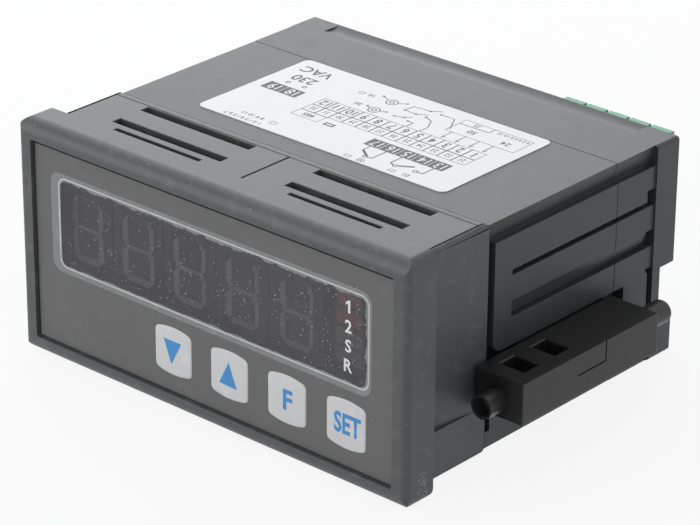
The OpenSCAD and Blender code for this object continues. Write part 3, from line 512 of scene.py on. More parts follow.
film_low, film_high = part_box("front_film")
film_w, film_h = [(high - low) / MM for low, high in ((film_low.x, film_high.x), (film_low.z, film_high.z))]
FILM_BACK = film_high.y / MM
FILM_FRONT = FILM_BACK - FILM_T
CLEAR_FRONT = FILM_BACK - FILM_CLEAR_T
KEYS = [(KEY_X + KEY_STEP * i, KEY_Z) for i in range(KEY_COUNT)]
key_outline = key_half(1) + key_half(-1)
key_holes = [[(x + u, z + v) for u, v in key_outline] for x, z in KEYS]
window_hole = rounded_outline(BAND_W, BAND_H, BAND_R, BAND_X, BAND_Z)
# The film is drawn shorter at its top, so that a strip of black tape shows there as a painted shadow line
# under the rim.
film_edge = rounded_outline(film_w, film_h - FILM_GAP, FILM_R, 0.0, -FILM_GAP / 2)
printed = on_front(sheet([film_edge, window_hole] + key_holes, FILM_T), FILM_BACK)
settle("film_printed", printed, film_print, "counter", "front_film", "front_film")
clear_edge = rounded_outline(BAND_W + OVERLAP, BAND_H + OVERLAP, BAND_R, BAND_X, BAND_Z)
clear = on_front(sheet([clear_edge], FILM_CLEAR_T), FILM_BACK)
settle("film_clear", clear, clear_film, "counter", "smoked_window", "front_film")
# The tape ring is real, but the strip of it left open above the film is a painted shadow line.
tape_outer = rounded_outline(film_w + OVERLAP, film_h + OVERLAP, TAPE_R)
tape_inner = rounded_outline(film_w - TAPE_W, film_h - TAPE_W, TAPE_R)
tape_shadow_line = on_front(sheet([tape_outer, tape_inner], TAPE_T), FILM_BACK)
settle("film_tape", tape_shadow_line, part_black, "counter", "front_film", "front_film")
print("film of", round(film_w, 1), "by", round(film_h, 1), "mm")

# %% [markdown]
# ## Glue round the window
# The window is glued behind the film. Outside there is a pale even band, then a bright bead where the glue
# was squeezed up, and inside it the glue ends in a ragged edge. Rings are sheets with a hole. Noise moves
# the hole of the inner ring in and out, and more so above and on the right, where the glue has run.

# %% Glue round the window
GLUE_T = 0.02
BEAD_W, BEAD_H, BEAD_R, BEAD_X, BEAD_Z, BEAD_LINE = 76.9, 18.4, 1.9, 0.15, 5.35, 0.3
RUN_DEPTHS = {"right": 0.6, "top": 0.65, "left": 0.2, "bottom": 0.3}
RUN_GAP, RUN_PER_MM, RUN_REACH, RUN_MOST = 0.2, 0.45, 1.5, 1.2
COARSE, COARSE_SLICE, FINE, FINE_SLICE, FINER = 0.8, 3.0, 0.4, 7.0, 4


def dense(outline, gap):
    """Adds points to an outline so that none are further apart than about the gap."""
    points = []
    for (ax, ay), (bx, by) in zip(outline, outline[1:] + outline[:1]):
        count = max(1, int(math.hypot(bx - ax, by - ay) / gap))
        points += [(ax + (bx - ax) * i / count, ay + (by - ay) * i / count) for i in range(count)]
    return points


def ragged(outline, right, top, left, bottom):
    """Moves an outline inwards by a random amount, about up to one depth for each of its four sides."""
    xs, ys = [p[0] for p in outline], [p[1] for p in outline]
    low_x, high_x, low_y, high_y = min(xs), max(xs), min(ys), max(ys)
    points = []
    for x, y in outline:
        u, v = x * RUN_PER_MM, y * RUN_PER_MM
        coarse = noise.noise(Vector((u, v, COARSE_SLICE)))
        fine = noise.noise(Vector((u * FINER, v * FINER, FINE_SLICE)))
        share = min(max(0.5 + COARSE * coarse + FINE * fine, 0.0), RUN_MOST)
        near = [max(0, 1 - gap / RUN_REACH) for gap in (high_x - x, high_y - y, x - low_x, y - low_y)]
        along_x = left * near[2] - right * near[0]
        along_y = bottom * near[3] - top * near[1]
        points.append((x + share * along_x, y + share * along_y))
    return points


def bead_outline(half_lines, radius):
    """The bead's outline, moved in on each side by so many halves of the bead's own width."""
    shrink = half_lines * BEAD_LINE
    return rounded_outline(BEAD_W - shrink, BEAD_H - shrink, radius, BEAD_X, BEAD_Z)


bead_outer = bead_outline(0, BEAD_R)
bead_inner = bead_outline(2, BEAD_R - BEAD_LINE)
run_inner = ragged(dense(bead_outline(3, BEAD_R - BEAD_LINE), RUN_GAP), **RUN_DEPTHS)
GLUE = {"window_glue": ([window_hole, bead_outer], 0.0, adhesive),
        "window_bead": ([bead_outer, bead_inner], GLUE_T, bead_light),
        "window_glue_run": ([bead_inner, run_inner], 0.0, adhesive)}
for name, (outlines, lift, finish) in GLUE.items():
    glue = on_front(sheet(outlines, GLUE_T), CLEAR_FRONT - lift)
    settle(name, glue, finish, "counter", "smoked_window", "front_film")
print("glue runs along", len(run_inner), "points")

# %% [markdown]
# ## Embossed keys
# Each key is pressed out of the film from behind, so it is a low pillow. A pillow is the key's outline
# repeated in rings that rise and shrink, which is a short loop in bmesh.

# %% Embossed keys
# Each ring's share of the outline and its rise out of the film
RINGS = [(1.0, 0.0), (0.985, 0.09), (0.95, 0.15), (0.88, 0.185), (0.7, 0.2)]
KEY_RISE = RINGS[-1][1]
SAME_CORNER = 1e-5
SIDE_CORNERS = 4


def pillow(x, z):
    """The rings of one key, closed on top, as a mesh on the film. Only its sides are shaded smooth."""
    work = bmesh.new()
    rows = []
    for scale, rise in RINGS:
        rows.append([work.verts.new((x + u * scale, z + v * scale, FILM_T + rise)) for u, v in key_outline])
    foot = [work.verts.new((x + u, z + v, 0)) for u, v in key_outline]
    count = len(foot)
    for low, high in zip([foot] + rows, rows):
        for i in range(count):
            work.faces.new((low[i], low[(i + 1) % count], high[(i + 1) % count], high[i]))
    work.faces.new(rows[-1])
    work.faces.new(foot[::-1])
    bmesh.ops.remove_doubles(work, verts=work.verts, dist=SAME_CORNER)
    bmesh.ops.recalc_face_normals(work, faces=work.faces)
    for face in work.faces:
        face.smooth = len(face.verts) <= SIDE_CORNERS
    mesh = bpy.data.meshes.new("key")
    work.to_mesh(mesh)
    work.free()
    return on_front(mesh, FILM_BACK)


for number, (x, z) in enumerate(KEYS, 1):
    settle(f"key_pad_{number}", pillow(x, z), key_print, "counter", "front_film", "front_film")
print("keys stand", KEY_RISE, "mm out of the film")

# %% [markdown]
# ## Legends
# The keys carry an arrow down, an arrow up and two short words for what they do, and the window has four
# marks for its indicator lamps. Blender's own font is turned into a mesh, fitted to the printed size and
# laid on the film. Its figure 1 is a plain stroke and the printed one has a flag, so that one is an outline.

# %% Legends
INK = 0.012
KEY_TOP = FILM_FRONT - KEY_RISE
ARROWS = {"arrow_down": [(-11.2, -9.6), (-9.3, -14.5), (-6.7, -9.6)],
          "arrow_up": [(5.2, -9.2), (2.8, -13.95), (7.2, -14.1)]}
KEY_WEIGHT = 0.03
# What is printed, its middle in X and Z, its height and its stretch
KEY_WORDS = {"letter_f": ("F", 19.65, -11.8, 4.1, 0.97), "word_set": ("SET", 33.85, -11.7, 4.2, 0.73)}
MARK_X, MARK_H, MARK_WEIGHT, MARK_STRETCH = 33.7, 2.5, 0.022, 0.95
MARK_PLACES = {"1": 11.25, "2": 7.42, "S": 3.65, "R": -0.19}
ONE = [(-0.1, -1.25), (0.42, -1.25), (0.42, 1.25), (0.1, 1.25), (-0.62, 0.75), (-0.62, 0.22), (-0.1, 0.58)]


def lettering(words, height, weight, stretch=1.0):
    """Words as a flat mesh of this height in millimetres, centred. Weight thickens, stretch widens."""
    curve = bpy.data.curves.new("word", "FONT")
    curve.body = words
    curve.offset = weight
    curve.resolution_u = 3
    holder = holder_of("word", curve)
    mesh = evaluated_mesh(holder)
    bpy.data.objects.remove(holder)
    low = [min(v.co[i] for v in mesh.vertices) for i in range(2)]
    high = [max(v.co[i] for v in mesh.vertices) for i in range(2)]
    scale = height / (high[1] - low[1])
    fit = Matrix.Diagonal((scale * stretch, scale, 1, 1))
    mesh.transform(fit @ Matrix.Translation((-(low[0] + high[0]) / 2, -(low[1] + high[1]) / 2, 0)))
    return mesh


def lamp_mark(letter):
    """One mark of the window, round its middle."""
    if letter == "1":
        return sheet([ONE], INK)
    return moved(lettering(letter, MARK_H, MARK_WEIGHT, MARK_STRETCH), 0, 0, INK)


for name, corners in ARROWS.items():
    arrow = on_front(sheet([corners], INK), KEY_TOP)
    settle(name, arrow, legend_blue, "counter", "front_film", "front_film")
for name, (words, x, z, height, stretch) in KEY_WORDS.items():
    word = on_front(moved(lettering(words, height, KEY_WEIGHT, stretch), x, z, INK), KEY_TOP)
    settle(name, word, legend_blue, "counter", "front_film", "front_film")
for letter, z in MARK_PLACES.items():
    mark = on_front(moved(lamp_mark(letter), MARK_X, z), CLEAR_FRONT)
    settle("mark_" + letter.lower(), mark, legend_white, "counter", "front_film", "front_film")
print("legends:", len(ARROWS) + len(KEY_WORDS) + len(MARK_PLACES))

# %% [markdown]
# ## Rows by Geometry Nodes
# Five digits stand in a row, and so do lamps and the boxes of the label. Repeating is the work of Geometry
# Nodes: a line of points carries a copy of whatever mesh comes in. Each tree has named inputs, so that one
# tree serves every row, and it ends in a real mesh, because copies that are only shown can't be exported.


# %% Rows by Geometry Nodes
def recipe(name, inputs):
    """An empty geometry tree, wires from its named inputs, and the identifiers a modifier uses for them."""
    group = bpy.data.node_groups.new(name, "GeometryNodeTree")
    group.interface.new_socket("Geometry", in_out="INPUT", socket_type="NodeSocketGeometry")
    keys = {label: group.interface.new_socket(label, in_out="INPUT", socket_type=kind).identifier
            for label, kind in inputs.items()}
    group.interface.new_socket("Geometry", in_out="OUTPUT", socket_type="NodeSocketGeometry")
    tree = Tree(group)
    entry = group.nodes.new("NodeGroupInput")
    return tree, {socket.name: Wire(tree, socket) for socket in entry.outputs if socket.name}, keys


def close_recipe(tree, geometry, finish):
    """Ends a geometry tree: real mesh, with its finish."""
    real = tree.node("GeometryNodeRealizeInstances", None, {0: geometry})
    painted = tree.node("GeometryNodeSetMaterial", None, {"Geometry": real, "Material": finish})
    end = tree.tree.nodes.new("NodeGroupOutput")
    tree.plug(painted, end.inputs[0])


def cook(mesh, tree, keys, values):
    """Runs a geometry tree on a mesh and returns the plain mesh that comes out."""
    holder = holder_of("cook", mesh)
    modifier = holder.modifiers.new("recipe", "NODES")
    modifier.node_group = tree.tree
    for label, value in values.items():
        modifier[keys[label]] = value
    result = evaluated_mesh(holder)
    bpy.data.objects.remove(holder)
    return result


row_tree, row_in, row_keys = recipe("row", {
    "Count": "NodeSocketInt", "Step": "NodeSocketVector", "Finish": "NodeSocketMaterial"})
row_line = row_tree.node("GeometryNodeMeshLine", {"mode": "OFFSET"}, {
    "Count": row_in["Count"], "Offset": row_in["Step"]})
row_copies = row_tree.node("GeometryNodeInstanceOnPoints", None, {
    "Points": row_line, "Instance": row_in["Geometry"]})
close_recipe(row_tree, row_copies, row_in["Finish"])


def in_row(mesh, count, step_x, step_z, finish):
    """A row of copies of a mesh, with this step in millimetres."""
    step = (step_x * MM, 0, step_z * MM)
    return cook(mesh, row_tree, row_keys, {"Count": count, "Step": step, "Finish": finish.material})


print("a row needs", list(row_keys))

# %% [markdown]
# ## Digits and lamps
# Each digit has seven bars that are pointed at both ends, sunk a hair into the dark face of its module. One
# digit is drawn as a sheet and repeated. The four lamps beside them are two pairs, in two colours.

# %% Digits and lamps
DIGIT_COUNT, DIGIT_W, DIGIT_STEP, DIGIT_PITCH, DIGIT_DROP = 5, 7.1, 6.0, 13.2, 0.8
BAR_HALF_W, BAR_END, BAR_T, BAR_DEEP = 0.8, 0.12, 0.12, 0.14
LAMP_W, LAMP_H, LAMP_R, LAMP_STEP, LAMP_COUNT = 5.8, 3.4, 0.3, 3.8, 4
LAMPS = {"lamp_faces_low": (0, lamp_brown), "lamp_faces_high": (2, lamp_red)}


def middle(low, high):
    """The middle of a box, in millimetres."""
    return [(a + b) / 2 / MM for a, b in zip(low, high)]


def digit_bar(length, upright, x, z):
    """Outline of one bar of a digit, pointed at both ends."""
    w = BAR_HALF_W
    half = length / 2 - BAR_END
    bar = [(-half, 0), (w - half, w), (half - w, w), (half, 0), (half - w, -w), (w - half, -w)]
    return [(x - v, z + u) if upright else (x + u, z + v) for u, v in bar]


def digit_bars():
    """Outlines of the seven bars of one digit, round its middle."""
    flat = [digit_bar(DIGIT_W, False, 0, z * DIGIT_STEP) for z in (-1, 0, 1)]
    upright = [digit_bar(DIGIT_STEP, True, x * DIGIT_W / 2, z * DIGIT_STEP / 2)
               for x in (-1, 1) for z in (-1, 1)]
    return flat + upright


digit_low, digit_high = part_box("digit_1")
digit_x, _, digit_z = middle(digit_low, digit_high)
one_digit = moved(sheet(digit_bars(), BAR_T), digit_x, digit_z - DIGIT_DROP)
digits = in_row(on_front(one_digit, digit_low.y / MM + BAR_DEEP), DIGIT_COUNT, DIGIT_PITCH, 0, digit_bar_grey)
settle("digit_bars", digits, digit_bar_grey, "counter", "display_epoxy")

lamp_low, lamp_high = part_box("indicator_block")
lamp_x, _, lamp_middle = middle(lamp_low, lamp_high)
lamp_z = lamp_middle - (LAMP_COUNT - 1) / 2 * LAMP_STEP
for name, (first, finish) in LAMPS.items():
    one_lamp = sheet([rounded_outline(LAMP_W, LAMP_H, LAMP_R)], BAR_T)
    one_lamp = on_front(moved(one_lamp, lamp_x, lamp_z + first * LAMP_STEP), lamp_low.y / MM + BAR_DEEP)
    lamps = in_row(one_lamp, LAMP_COUNT // len(LAMPS), 0, LAMP_STEP, finish)
    settle(name, lamps, finish, "counter", "display_epoxy")
print("digit bars:", len(digits.polygons), "faces, a pair of lamps:", len(lamps.polygons))

# %% [markdown]
# ## Shapes of a printed label
# The label on top of the case is a drawing of lines, frames, rings, dots and numbers. Each shape is an
# outline or two, so all of them can become sheets of ink. The drawing is read from the back of the counter,
# so what is right on the print is minus X, and words are turned by half a turn.

# %% Shapes of a printed label
THIN, MEDIUM, HEAVY = 0.22, 0.3, 0.55
FRAME_LINE, RING_LINE, DOT_R = 0.14, 0.24, 0.3
RING_STEPS, DOT_STEPS = 24, 12


def stroke(ax, ay, bx, by, width):
    """A straight printed line."""
    length = math.hypot(bx - ax, by - ay)
    nx, ny = -(by - ay) / length * width / 2, (bx - ax) / length * width / 2
    return [(ax + nx, ay + ny), (bx + nx, by + ny), (bx - nx, by - ny), (ax - nx, ay - ny)]


def path(*corners, width=THIN):
    """A printed line through several corners, as one shape for each straight stretch."""
    return [[stroke(*a, *b, width)] for a, b in zip(corners, corners[1:])]


def rectangle(x0, y0, x1, y1):
    """The corners of a rectangle."""
    return [(x0, y0), (x1, y0), (x1, y1), (x0, y1)]


def boxed(x0, y0, x1, y1, line=FRAME_LINE):
    """A printed frame: a rectangle with a smaller one cut out."""
    return [rectangle(x0, y0, x1, y1), rectangle(x0 + line, y0 + line, x1 - line, y1 - line)]


def filled(x, y, width, height):
    """A solid printed box."""
    return [rectangle(x, y, x + width, y + height)]


def circle(x, y, radius, steps):
    """Points round a circle."""
    turns = [math.radians(360 / steps * i) for i in range(steps)]
    return [(x + radius * math.cos(a), y + radius * math.sin(a)) for a in turns]


def ring(x, y, radius):
    """A printed ring."""
    return [circle(x, y, r, RING_STEPS) for r in (radius, radius - RING_LINE)]


def dot(x, y):
    """A printed dot."""
    return [circle(x, y, DOT_R, DOT_STEPS)]


def read_from_back(mesh, x, y):
    """Turns a word by half a turn and puts it in its place."""
    mesh.transform(Matrix.Translation((x, y, 0)) @ Matrix.Rotation(math.pi, 4, "Z"))
    return mesh


def joined(meshes):
    """Several meshes in one."""
    work = bmesh.new()
    for mesh in meshes:
        work.from_mesh(mesh)
    result = bpy.data.meshes.new("joined")
    work.to_mesh(result)
    work.free()
    return result


print("a ring has", sum(len(outline) for outline in ring(0, 0, 1)), "points")

# %% [markdown]
# ## The wiring label
# The label shows which terminal does what. The printed sheet has smaller corners than the solid, so a new
# sheet of the same size takes its place. Lines, frames, rings and dots are gathered into one mesh of ink.

# %% The wiring label
label_low, label_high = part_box("wiring_label")
LABEL_TOP, LABEL_R, PRINT = label_high.z / MM, 1.5, 0.01
BOX_X, BOX_Y, BOX_STEP, BOX_H, WORD_BOX_H = -14.6, 37.3, 3.32, 3.6, 3.1
POINTER_COUNT, POINTER_X = 4, 13.7

contacts = path((0.3, 46.8), (0.4, 49.2), (4.4, 49.6), (6.2, 51.0))
contacts += path((6.9, 49.6), (10.1, 49.7), (12.4, 45.6))
contacts += path((0.3, 46.8), (3.2, 46.7), (5.3, 47.9))
contacts += path((5.5, 46.8), (7.5, 46.0), (9.0, 43.2), (8.9, 41.0))
contacts += path((0.7, 43.3), (2.6, 44.0), (3.6, 45.1))
contacts += path((4.2, 43.1), (5.6, 43.0), (5.6, 41.0))
ring_leads = path((-7.1, 49.3), (-5.2, 48.4)) + path((-2.6, 48.4), (-1.2, 49.4))
ring_leads += path((-6.3, 43.7), (-5.3, 43.2)) + path((-2.7, 43.2), (-1.6, 43.7))
input_wires = path((7.0, 29.4), (7.0, 27.3)) + path((7.0, 27.3), (9.4, 25.6), width=HEAVY)
input_wires += path((10.8, 29.4), (10.8, 25.4), (9.9, 25.2), width=MEDIUM)
input_wires += path((14.6, 29.4), (14.6, 26.2), (15.6, 25.8), width=MEDIUM)
input_wires += path((16.6, 26.0), (19.2, 27.6), width=HEAVY)
input_wires += path((22.2, 29.4), (22.2, 26.2), (21.0, 26.2), width=MEDIUM)
pointers = path((11.9, 48.9), (19.0, 48.9), (19.0, 51.0))
for x in [POINTER_X + BOX_STEP * i for i in range(POINTER_COUNT)]:
    pointers += path((x, 44.6), (x, 41.4), (x + 0.5, 42.2))
frames = [boxed(BOX_X, 31.2, BOX_X + 2 * BOX_STEP, 34.2), boxed(11.9, 44.6, 28.2, 51.0),
          boxed(-6.6, 31.2, -4.2, 32.5, line=0.4), boxed(6.0, 22.9, 7.4, 23.9),
          boxed(16.4, 23.2, 17.8, 24.2), boxed(-14.4, 24.9, -13.0, 26.1), boxed(-11.9, 47.3, -10.7, 48.4)]
SMALL_RINGS = [(-25.3, 42.3), (-21.3, 42.5), (9.3, 25.2), (16.1, 25.7), (20.5, 26.2)]
DOUBLE_RINGS = [(-3.9, 48.0), (-4.0, 42.9)]
rings = [ring(*place, 0.55) for place in SMALL_RINGS]
rings += [ring(*place, radius) for place in DOUBLE_RINGS for radius in (1.3, 0.6)]
DOTS = [(0.3, 46.8), (4.4, 49.6), (6.9, 49.6), (3.2, 46.7), (5.5, 46.8), (0.7, 43.3), (2.6, 44.0),
        (4.2, 43.1), (-7.1, 49.3), (-1.2, 49.4), (-6.3, 43.7), (-1.6, 43.7)]
drawing = contacts + ring_leads + input_wires + pointers + frames + rings + [dot(*place) for place in DOTS]


def on_label(mesh, lift):
    """Lays a mesh, drawn in the counter's own X and Y, on the label."""
    mesh.transform(Matrix.Translation((0, 0, (LABEL_TOP + lift) * MM)) @ Matrix.Diagonal((MM, MM, MM, 1)))
    return mesh


label_x, label_y, _ = middle(label_low, label_high)
label_w, label_l, label_t = (label_high - label_low) / MM
paper = sheet([rounded_outline(label_w, label_l, LABEL_R, label_x, label_y)], label_t)
settle("label_sheet", on_label(paper, -label_t), label_paper, "counter", "label_film", "wiring_label")
line_mesh = on_label(joined([sheet(shape, PRINT) for shape in drawing]), 0.0)
settle("label_lines", line_mesh, label_ink, "counter", "label_film")
print("label lines:", len(line_mesh.polygons), "faces")

# %% [markdown]
# ## Number boxes on the label
# Each terminal has a box with its number, so the boxes are rows of one box each. White numbers on dark boxes
# lie a little higher, so that they cover them.

# %% Number boxes on the label
INPUT_X, INPUT_Y, INPUT_STEP, INPUT_H = 5.1, 29.4, 3.82, 3.3
SUPPLY_X, SUPPLY_Y, SUPPLY_STEP, SUPPLY_H = -28.0, 37.2, 4.5, 3.4
SEAM, WORD_DROP, NUMBER_STRETCH, WORD_WEIGHT = 0.15, 1.5, 0.82, 0.018
BOX_COUNT, INPUT_COUNT, SUPPLY_COUNT = 12, 5, 2
number_box = boxed(BOX_X, BOX_Y, BOX_X + BOX_STEP, BOX_Y + BOX_H)
word_box = boxed(BOX_X, BOX_Y - WORD_BOX_H, BOX_X + BOX_STEP, BOX_Y)
input_box = filled(INPUT_X, INPUT_Y, INPUT_STEP - SEAM, INPUT_H)
supply_box = filled(SUPPLY_X, SUPPLY_Y, SUPPLY_STEP - SEAM, SUPPLY_H)
ROWS = {"number_boxes": (number_box, BOX_COUNT, BOX_STEP, label_ink),
        "word_boxes": (word_box, BOX_COUNT, BOX_STEP, label_ink),
        "input_boxes": (input_box, INPUT_COUNT, INPUT_STEP, label_dark),
        "supply_boxes": (supply_box, SUPPLY_COUNT, SUPPLY_STEP, label_dark)}
for name, (shape, count, pitch, finish) in ROWS.items():
    row = in_row(on_label(sheet(shape, PRINT), 0.0), count, pitch, 0, finish)
    settle(name, row, finish, "counter", "label_film")


def numbers(first, count, x, y, pitch, height, weight):
    """Numbers for a row of boxes that starts at x. They count down along +X, for a reader at the back."""
    made = []
    for i in range(count):
        number = lettering(str(first - i), height, weight, NUMBER_STRETCH)
        made.append(read_from_back(number, x + pitch / 2 + i * pitch, y))
    return made


# What is printed, its middle in X and Y, and its height
WORD_PLACES = [("VAC", -24.3, 49.5, 2.8), ("230", -23.8, 45.2, 2.8), ("485", -11.3, 32.7, 1.4),
               ("10", -9.0, 48.0, 1.2), ("20", -8.2, 43.2, 1.2), ("02", 9.8, 23.4, 1.2),
               ("01", 20.4, 23.8, 1.2), ("24", 24.6, 46.9, 1.5), ("50", 16.6, 46.9, 1.5),
               ("0 2 4 6 8 10 12", 24.0, 50.0, 0.9), ("35", 15.4, 49.9, 1.1),
               ("1 2 / 3 4 / 5 6 7", -19.8, 23.5, 1.1), ("8 9 10 11", -18.9, 25.6, 1.1)]
words = numbers(12, BOX_COUNT, BOX_X, BOX_Y + BOX_H / 2, BOX_STEP, 2.3, 0.02)
words += numbers(32, BOX_COUNT, BOX_X, BOX_Y - WORD_DROP, BOX_STEP, 1.35, 0.01)
words += [read_from_back(lettering(text, height, WORD_WEIGHT), x, y) for text, x, y, height in WORD_PLACES]
word_mesh = on_label(joined(words), PRINT)
settle("label_words", word_mesh, label_ink, "counter", "label_film")
light_words = numbers(17, INPUT_COUNT, INPUT_X, INPUT_Y + INPUT_H / 2, INPUT_STEP, 2.4, 0.006)
light_words += numbers(19, SUPPLY_COUNT, SUPPLY_X, SUPPLY_Y + SUPPLY_H / 2, SUPPLY_STEP, 2.6, 0.008)
settle("label_light_words", on_label(joined(light_words), 2 * PRINT), label_paper, "counter", "label_film")
print("label words:", len(word_mesh.polygons), "faces")

# %% [markdown]
# ## A tree that scatters dust
# Dust lies at random on a surface, which is what Distribute Points on Faces does. Each point gets a small
# stretched grain that lies flat on the surface, turned and sized at random. For rubbed edges, a mask lets
# points lie only where the surface looks along two axes at once. The seeds are fixed, so that every render
# shows the same dust.

# %% A tree that scatters dust
LOOKS_ALONG, TWO_AXES = 0.3, 1.5
FULL_TURN, SMALLEST, LARGEST = 6.28, 0.25, 1.0
TURN_SEED, GROW_SEED = 5, 8
# A Random Value node has sockets for each kind of value. These are the places of those for plain numbers.
RANDOM_MIN, RANDOM_MAX, RANDOM_OUT = 2, 3, 1

dust_tree, dust_in, dust_keys = recipe("dust", {
    "Density": "NodeSocketFloat", "Only Edges": "NodeSocketFloat", "Seed": "NodeSocketInt",
    "Size": "NodeSocketVector", "Finish": "NodeSocketMaterial"})


def random_number(low, high, seed):
    """A random number for each point."""
    return dust_tree.node("FunctionNodeRandomValue", {"data_type": "FLOAT"},
                          {RANDOM_MIN: low, RANDOM_MAX: high, "Seed": seed}, out=RANDOM_OUT)


facing = dust_tree.node("ShaderNodeSeparateXYZ", None, {0: dust_tree.node("GeometryNodeInputNormal")})
looks = [Wire(dust_tree, socket) for socket in facing.socket.node.outputs]
turned = sum(look.maths("ABSOLUTE", look, 0.0) > LOOKS_ALONG for look in looks) > TWO_AXES
allowed = 1 - dust_in["Only Edges"] * (1 - turned)
specks = dust_tree.node("GeometryNodeDistributePointsOnFaces", None, {
    "Mesh": dust_in["Geometry"], "Density": dust_in["Density"] * allowed, "Seed": dust_in["Seed"]})
lie_flat = Wire(dust_tree, specks.socket.node.outputs["Rotation"])
spin = dust_tree.node("FunctionNodeAxisAngleToRotation", None, {
    "Axis": (0, 0, 1), "Angle": random_number(0.0, FULL_TURN, TURN_SEED)})
lying = dust_tree.node("FunctionNodeRotateRotation", {"rotation_space": "LOCAL"}, {0: lie_flat, 1: spin})
sized = dust_tree.node("ShaderNodeVectorMath", {"operation": "SCALE"}, {
    0: dust_in["Size"], "Scale": random_number(SMALLEST, LARGEST, GROW_SEED)})
grit = dust_tree.node("GeometryNodeMeshIcoSphere", None, {"Radius": 1.0, "Subdivisions": 1})
scattered = dust_tree.node("GeometryNodeInstanceOnPoints", None, {
    "Points": specks, "Instance": grit, "Rotation": lying, "Scale": sized})
close_recipe(dust_tree, scattered, dust_in["Finish"])
print("dust needs", list(dust_keys))

# %% [markdown]
# ## Dust and rubbed edges
# The window and the film have caught dust, short pale dashes and specks, and the case has a few specks. The
# edges of the frame are rubbed, and its lower right corner has fine scratches. The dust tree makes all of
# these. It only needs a surface to work on: a flat field for the window, the film and the corner, or a copy
# of the shell itself.

# %% Dust and rubbed edges
FIELD_T = 0.001
# Width, height and corner radius of each field, and the middle of the window's one
WINDOW_DUST = (BEAD_W - 2, BEAD_H - 2.4, 1.5, BEAD_X, BEAD_Z)
FILM_DUST = (86.5, 38.0, 1.0)
CORNER_PATCH, CORNER_Y, CORNER_Z = (3.0, 6.0, 1.2), -2.9, -20.0
frame_low, frame_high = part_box("front_frame")


def window_field():
    """A flat field on the window, inside the glue."""
    return on_front(sheet([rounded_outline(*WINDOW_DUST)], FIELD_T), CLEAR_FRONT)


def film_field():
    """A flat field on the whole film."""
    return on_front(sheet([rounded_outline(*FILM_DUST)], FIELD_T), FILM_FRONT)


def corner_field():
    """A scratched patch on the right side of the frame, near its lower corner."""
    patch = sheet([rounded_outline(*CORNER_PATCH)], FIELD_T)
    patch.transform(Matrix(((0, 0, MM, frame_high.x), (MM, 0, 0, CORNER_Y * MM),
                            (0, MM, 0, CORNER_Z * MM), (0, 0, 0, 1))))
    return patch


def shell_of(node):
    """A copy of a softened shell, to scatter dust on."""
    return shells[node].data.copy()


# Each has its surface, specks to the square metre, 1 for edges only, a seed, a speck's half sizes and a slot
FIELDS = {
    "window_dashes": (window_field(), 60000.0, 0.0, 4, (0.32, 0.09, 0.02), "front_film"),
    "window_specks": (window_field(), 100000.0, 0.0, 6, (0.15, 0.12, 0.02), "front_film"),
    "film_dust": (film_field(), 12000.0, 0.0, 9, (0.13, 0.08, 0.02), "front_film"),
    "frame_rubs": (shell_of("front_frame"), 45000.0, 1.0, 2, (0.2, 0.07, 0.03), "case_plastic"),
    "corner_rubs": (corner_field(), 1.6e6, 0.0, 11, (0.6, 0.05, 0.02), "case_plastic"),
    "case_specks": (shell_of("case"), 4000.0, 0.0, 3, (0.11, 0.08, 0.02), "case_plastic"),
    "cover_specks": (shell_of("rear_cover"), 4000.0, 0.0, 5, (0.11, 0.08, 0.02), "case_plastic")}
for name, (field, density, edges, seed, size, slot) in FIELDS.items():
    dust = cook(field, dust_tree, dust_keys, {
        "Density": density, "Only Edges": edges, "Seed": seed, "Size": [s * MM for s in size],
        "Finish": dust_white.material})
    settle(name, dust, dust_white, "counter", slot)
    print(name, "has", len(dust.polygons), "faces")

# %% [markdown]
# ## The table
# The counter lies on a pale table: its front frame and the hood at the back touch it, so the table leans a
# little in the counter's own frame. The table glows white to the camera only in part, so that the counter's
# shadow stays on it. The studio is large, so the table, the lights and the camera are placed in metres.

# %% The table
TABLE_HALF, TABLE_GAP, TABLE_GLOW = 4.0, 0.05 * MM, 0.88
hood_low, hood_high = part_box("rear_cover")
lean = math.atan2(hood_low.z - frame_low.z, hood_high.y - frame_low.y)
table_mesh = bpy.data.meshes.new("table")
table_corners = [(x * TABLE_HALF, y * TABLE_HALF, 0) for x, y in ((-1, -1), (1, -1), (1, 1), (-1, 1))]
table_mesh.from_pydata(table_corners, [], [(0, 1, 2, 3)])
floor = holder_of("table", table_mesh)
table_place = Matrix.Translation((0, frame_low.y, frame_low.z - TABLE_GAP))
floor.matrix_world = table_place @ Matrix.Rotation(lean, 4, "X")
table = Finish("table", Base_Color=paint("#f1f1f1"), Roughness=0.9, Specular_IOR_Level=0.1)
glow = table.node("ShaderNodeEmission", None, {"Strength": 1.0})
lit = Wire(table, table.surface.outputs[0])
paler = table.node("ShaderNodeMixShader", None, {0: table.seen_straight() * TABLE_GLOW, 1: lit, 2: glow})
table.plug(paler, table.tree.nodes["Material Output"].inputs["Surface"])
table_mesh.materials.append(table.material)
print("table leans", round(math.degrees(lean), 2), "degrees")

# %% [markdown]
# ## Studio light
# A large soft light stands above, another behind and a third in front, all to the left, as in a product
# studio. The first two are a little cool. The world is white to the camera and a softer grey to everything
# that it lights, so that a white background doesn't flood the counter with light.

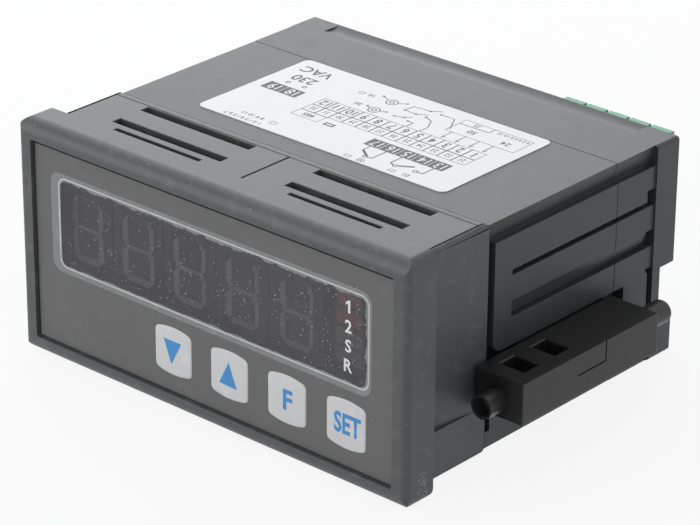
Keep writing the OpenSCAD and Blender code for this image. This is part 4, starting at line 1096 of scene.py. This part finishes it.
# %% Studio light
WORLD_LIGHT = 0.5
world = bpy.data.worlds.new("studio")
world.use_nodes = True
bpy.context.scene.world = world
sky = Tree(world.node_tree)
direct = sky.seen_straight()
background = world.node_tree.nodes["Background"]
sky.plug([1.0, 1.0, 1.0, 1.0], background.inputs["Color"])
sky.plug(direct + (1 - direct) * WORLD_LIGHT, background.inputs["Strength"])

COOL, NEUTRAL = (0.93, 0.965, 1.0), (1.0, 1.0, 1.0)
LIGHT_AIM = Vector((0, 0.03, 0))


def softbox(name, place, size, power, tint):
    """A soft square light that looks at the counter."""
    lamp = bpy.data.lights.new(name, "AREA")
    lamp.shape = "SQUARE"
    lamp.size = size
    lamp.energy = power
    lamp.color = tint
    held = holder_of(name, lamp)
    held.location = place
    held.rotation_euler = (LIGHT_AIM - Vector(place)).to_track_quat("-Z", "Y").to_euler()
    return held


boxes = [softbox("light_above", (-0.25, -0.1, 1.2), 1.0, 2.45, COOL),
         softbox("light_behind", (-0.58, 0.5, 0.36), 0.7, 3.2, COOL),
         softbox("light_front", (-0.75, -1.0, 0.4), 0.7, 5.2, NEUTRAL)]
print("lights:", [box.name for box in boxes])

# %% [markdown]
# ## Camera
# The camera was fitted to the corners of the front and the label in the picture. A long lens from well back
# keeps the edges nearly parallel, and the picture is a crop, so the lens is shifted a little.

# %% Camera
PICTURE_W, FOCAL_PIXELS, SENSOR_W = 700, 3349.15, 36.0
EYE, EYE_AIM, EYE_ROLL = (0.3777, -0.3967, 0.2639), Vector((0, 0.0275, 0)), math.radians(0.328)
camera = bpy.data.cameras.new("camera")
camera.sensor_width = SENSOR_W
camera.lens = FOCAL_PIXELS / PICTURE_W * SENSOR_W
camera.shift_x = 0.0220
camera.shift_y = -0.0196
eye = holder_of("camera", camera)
eye.location = EYE
look = (EYE_AIM - eye.location).to_track_quat("-Z", "Y")
eye.rotation_euler = (look.to_matrix() @ Matrix.Rotation(EYE_ROLL, 3, "Z")).to_euler()
bpy.context.scene.camera = eye
bpy.context.scene.view_settings.view_transform = "Standard"
print("camera looks from", [round(v, 3) for v in eye.location])
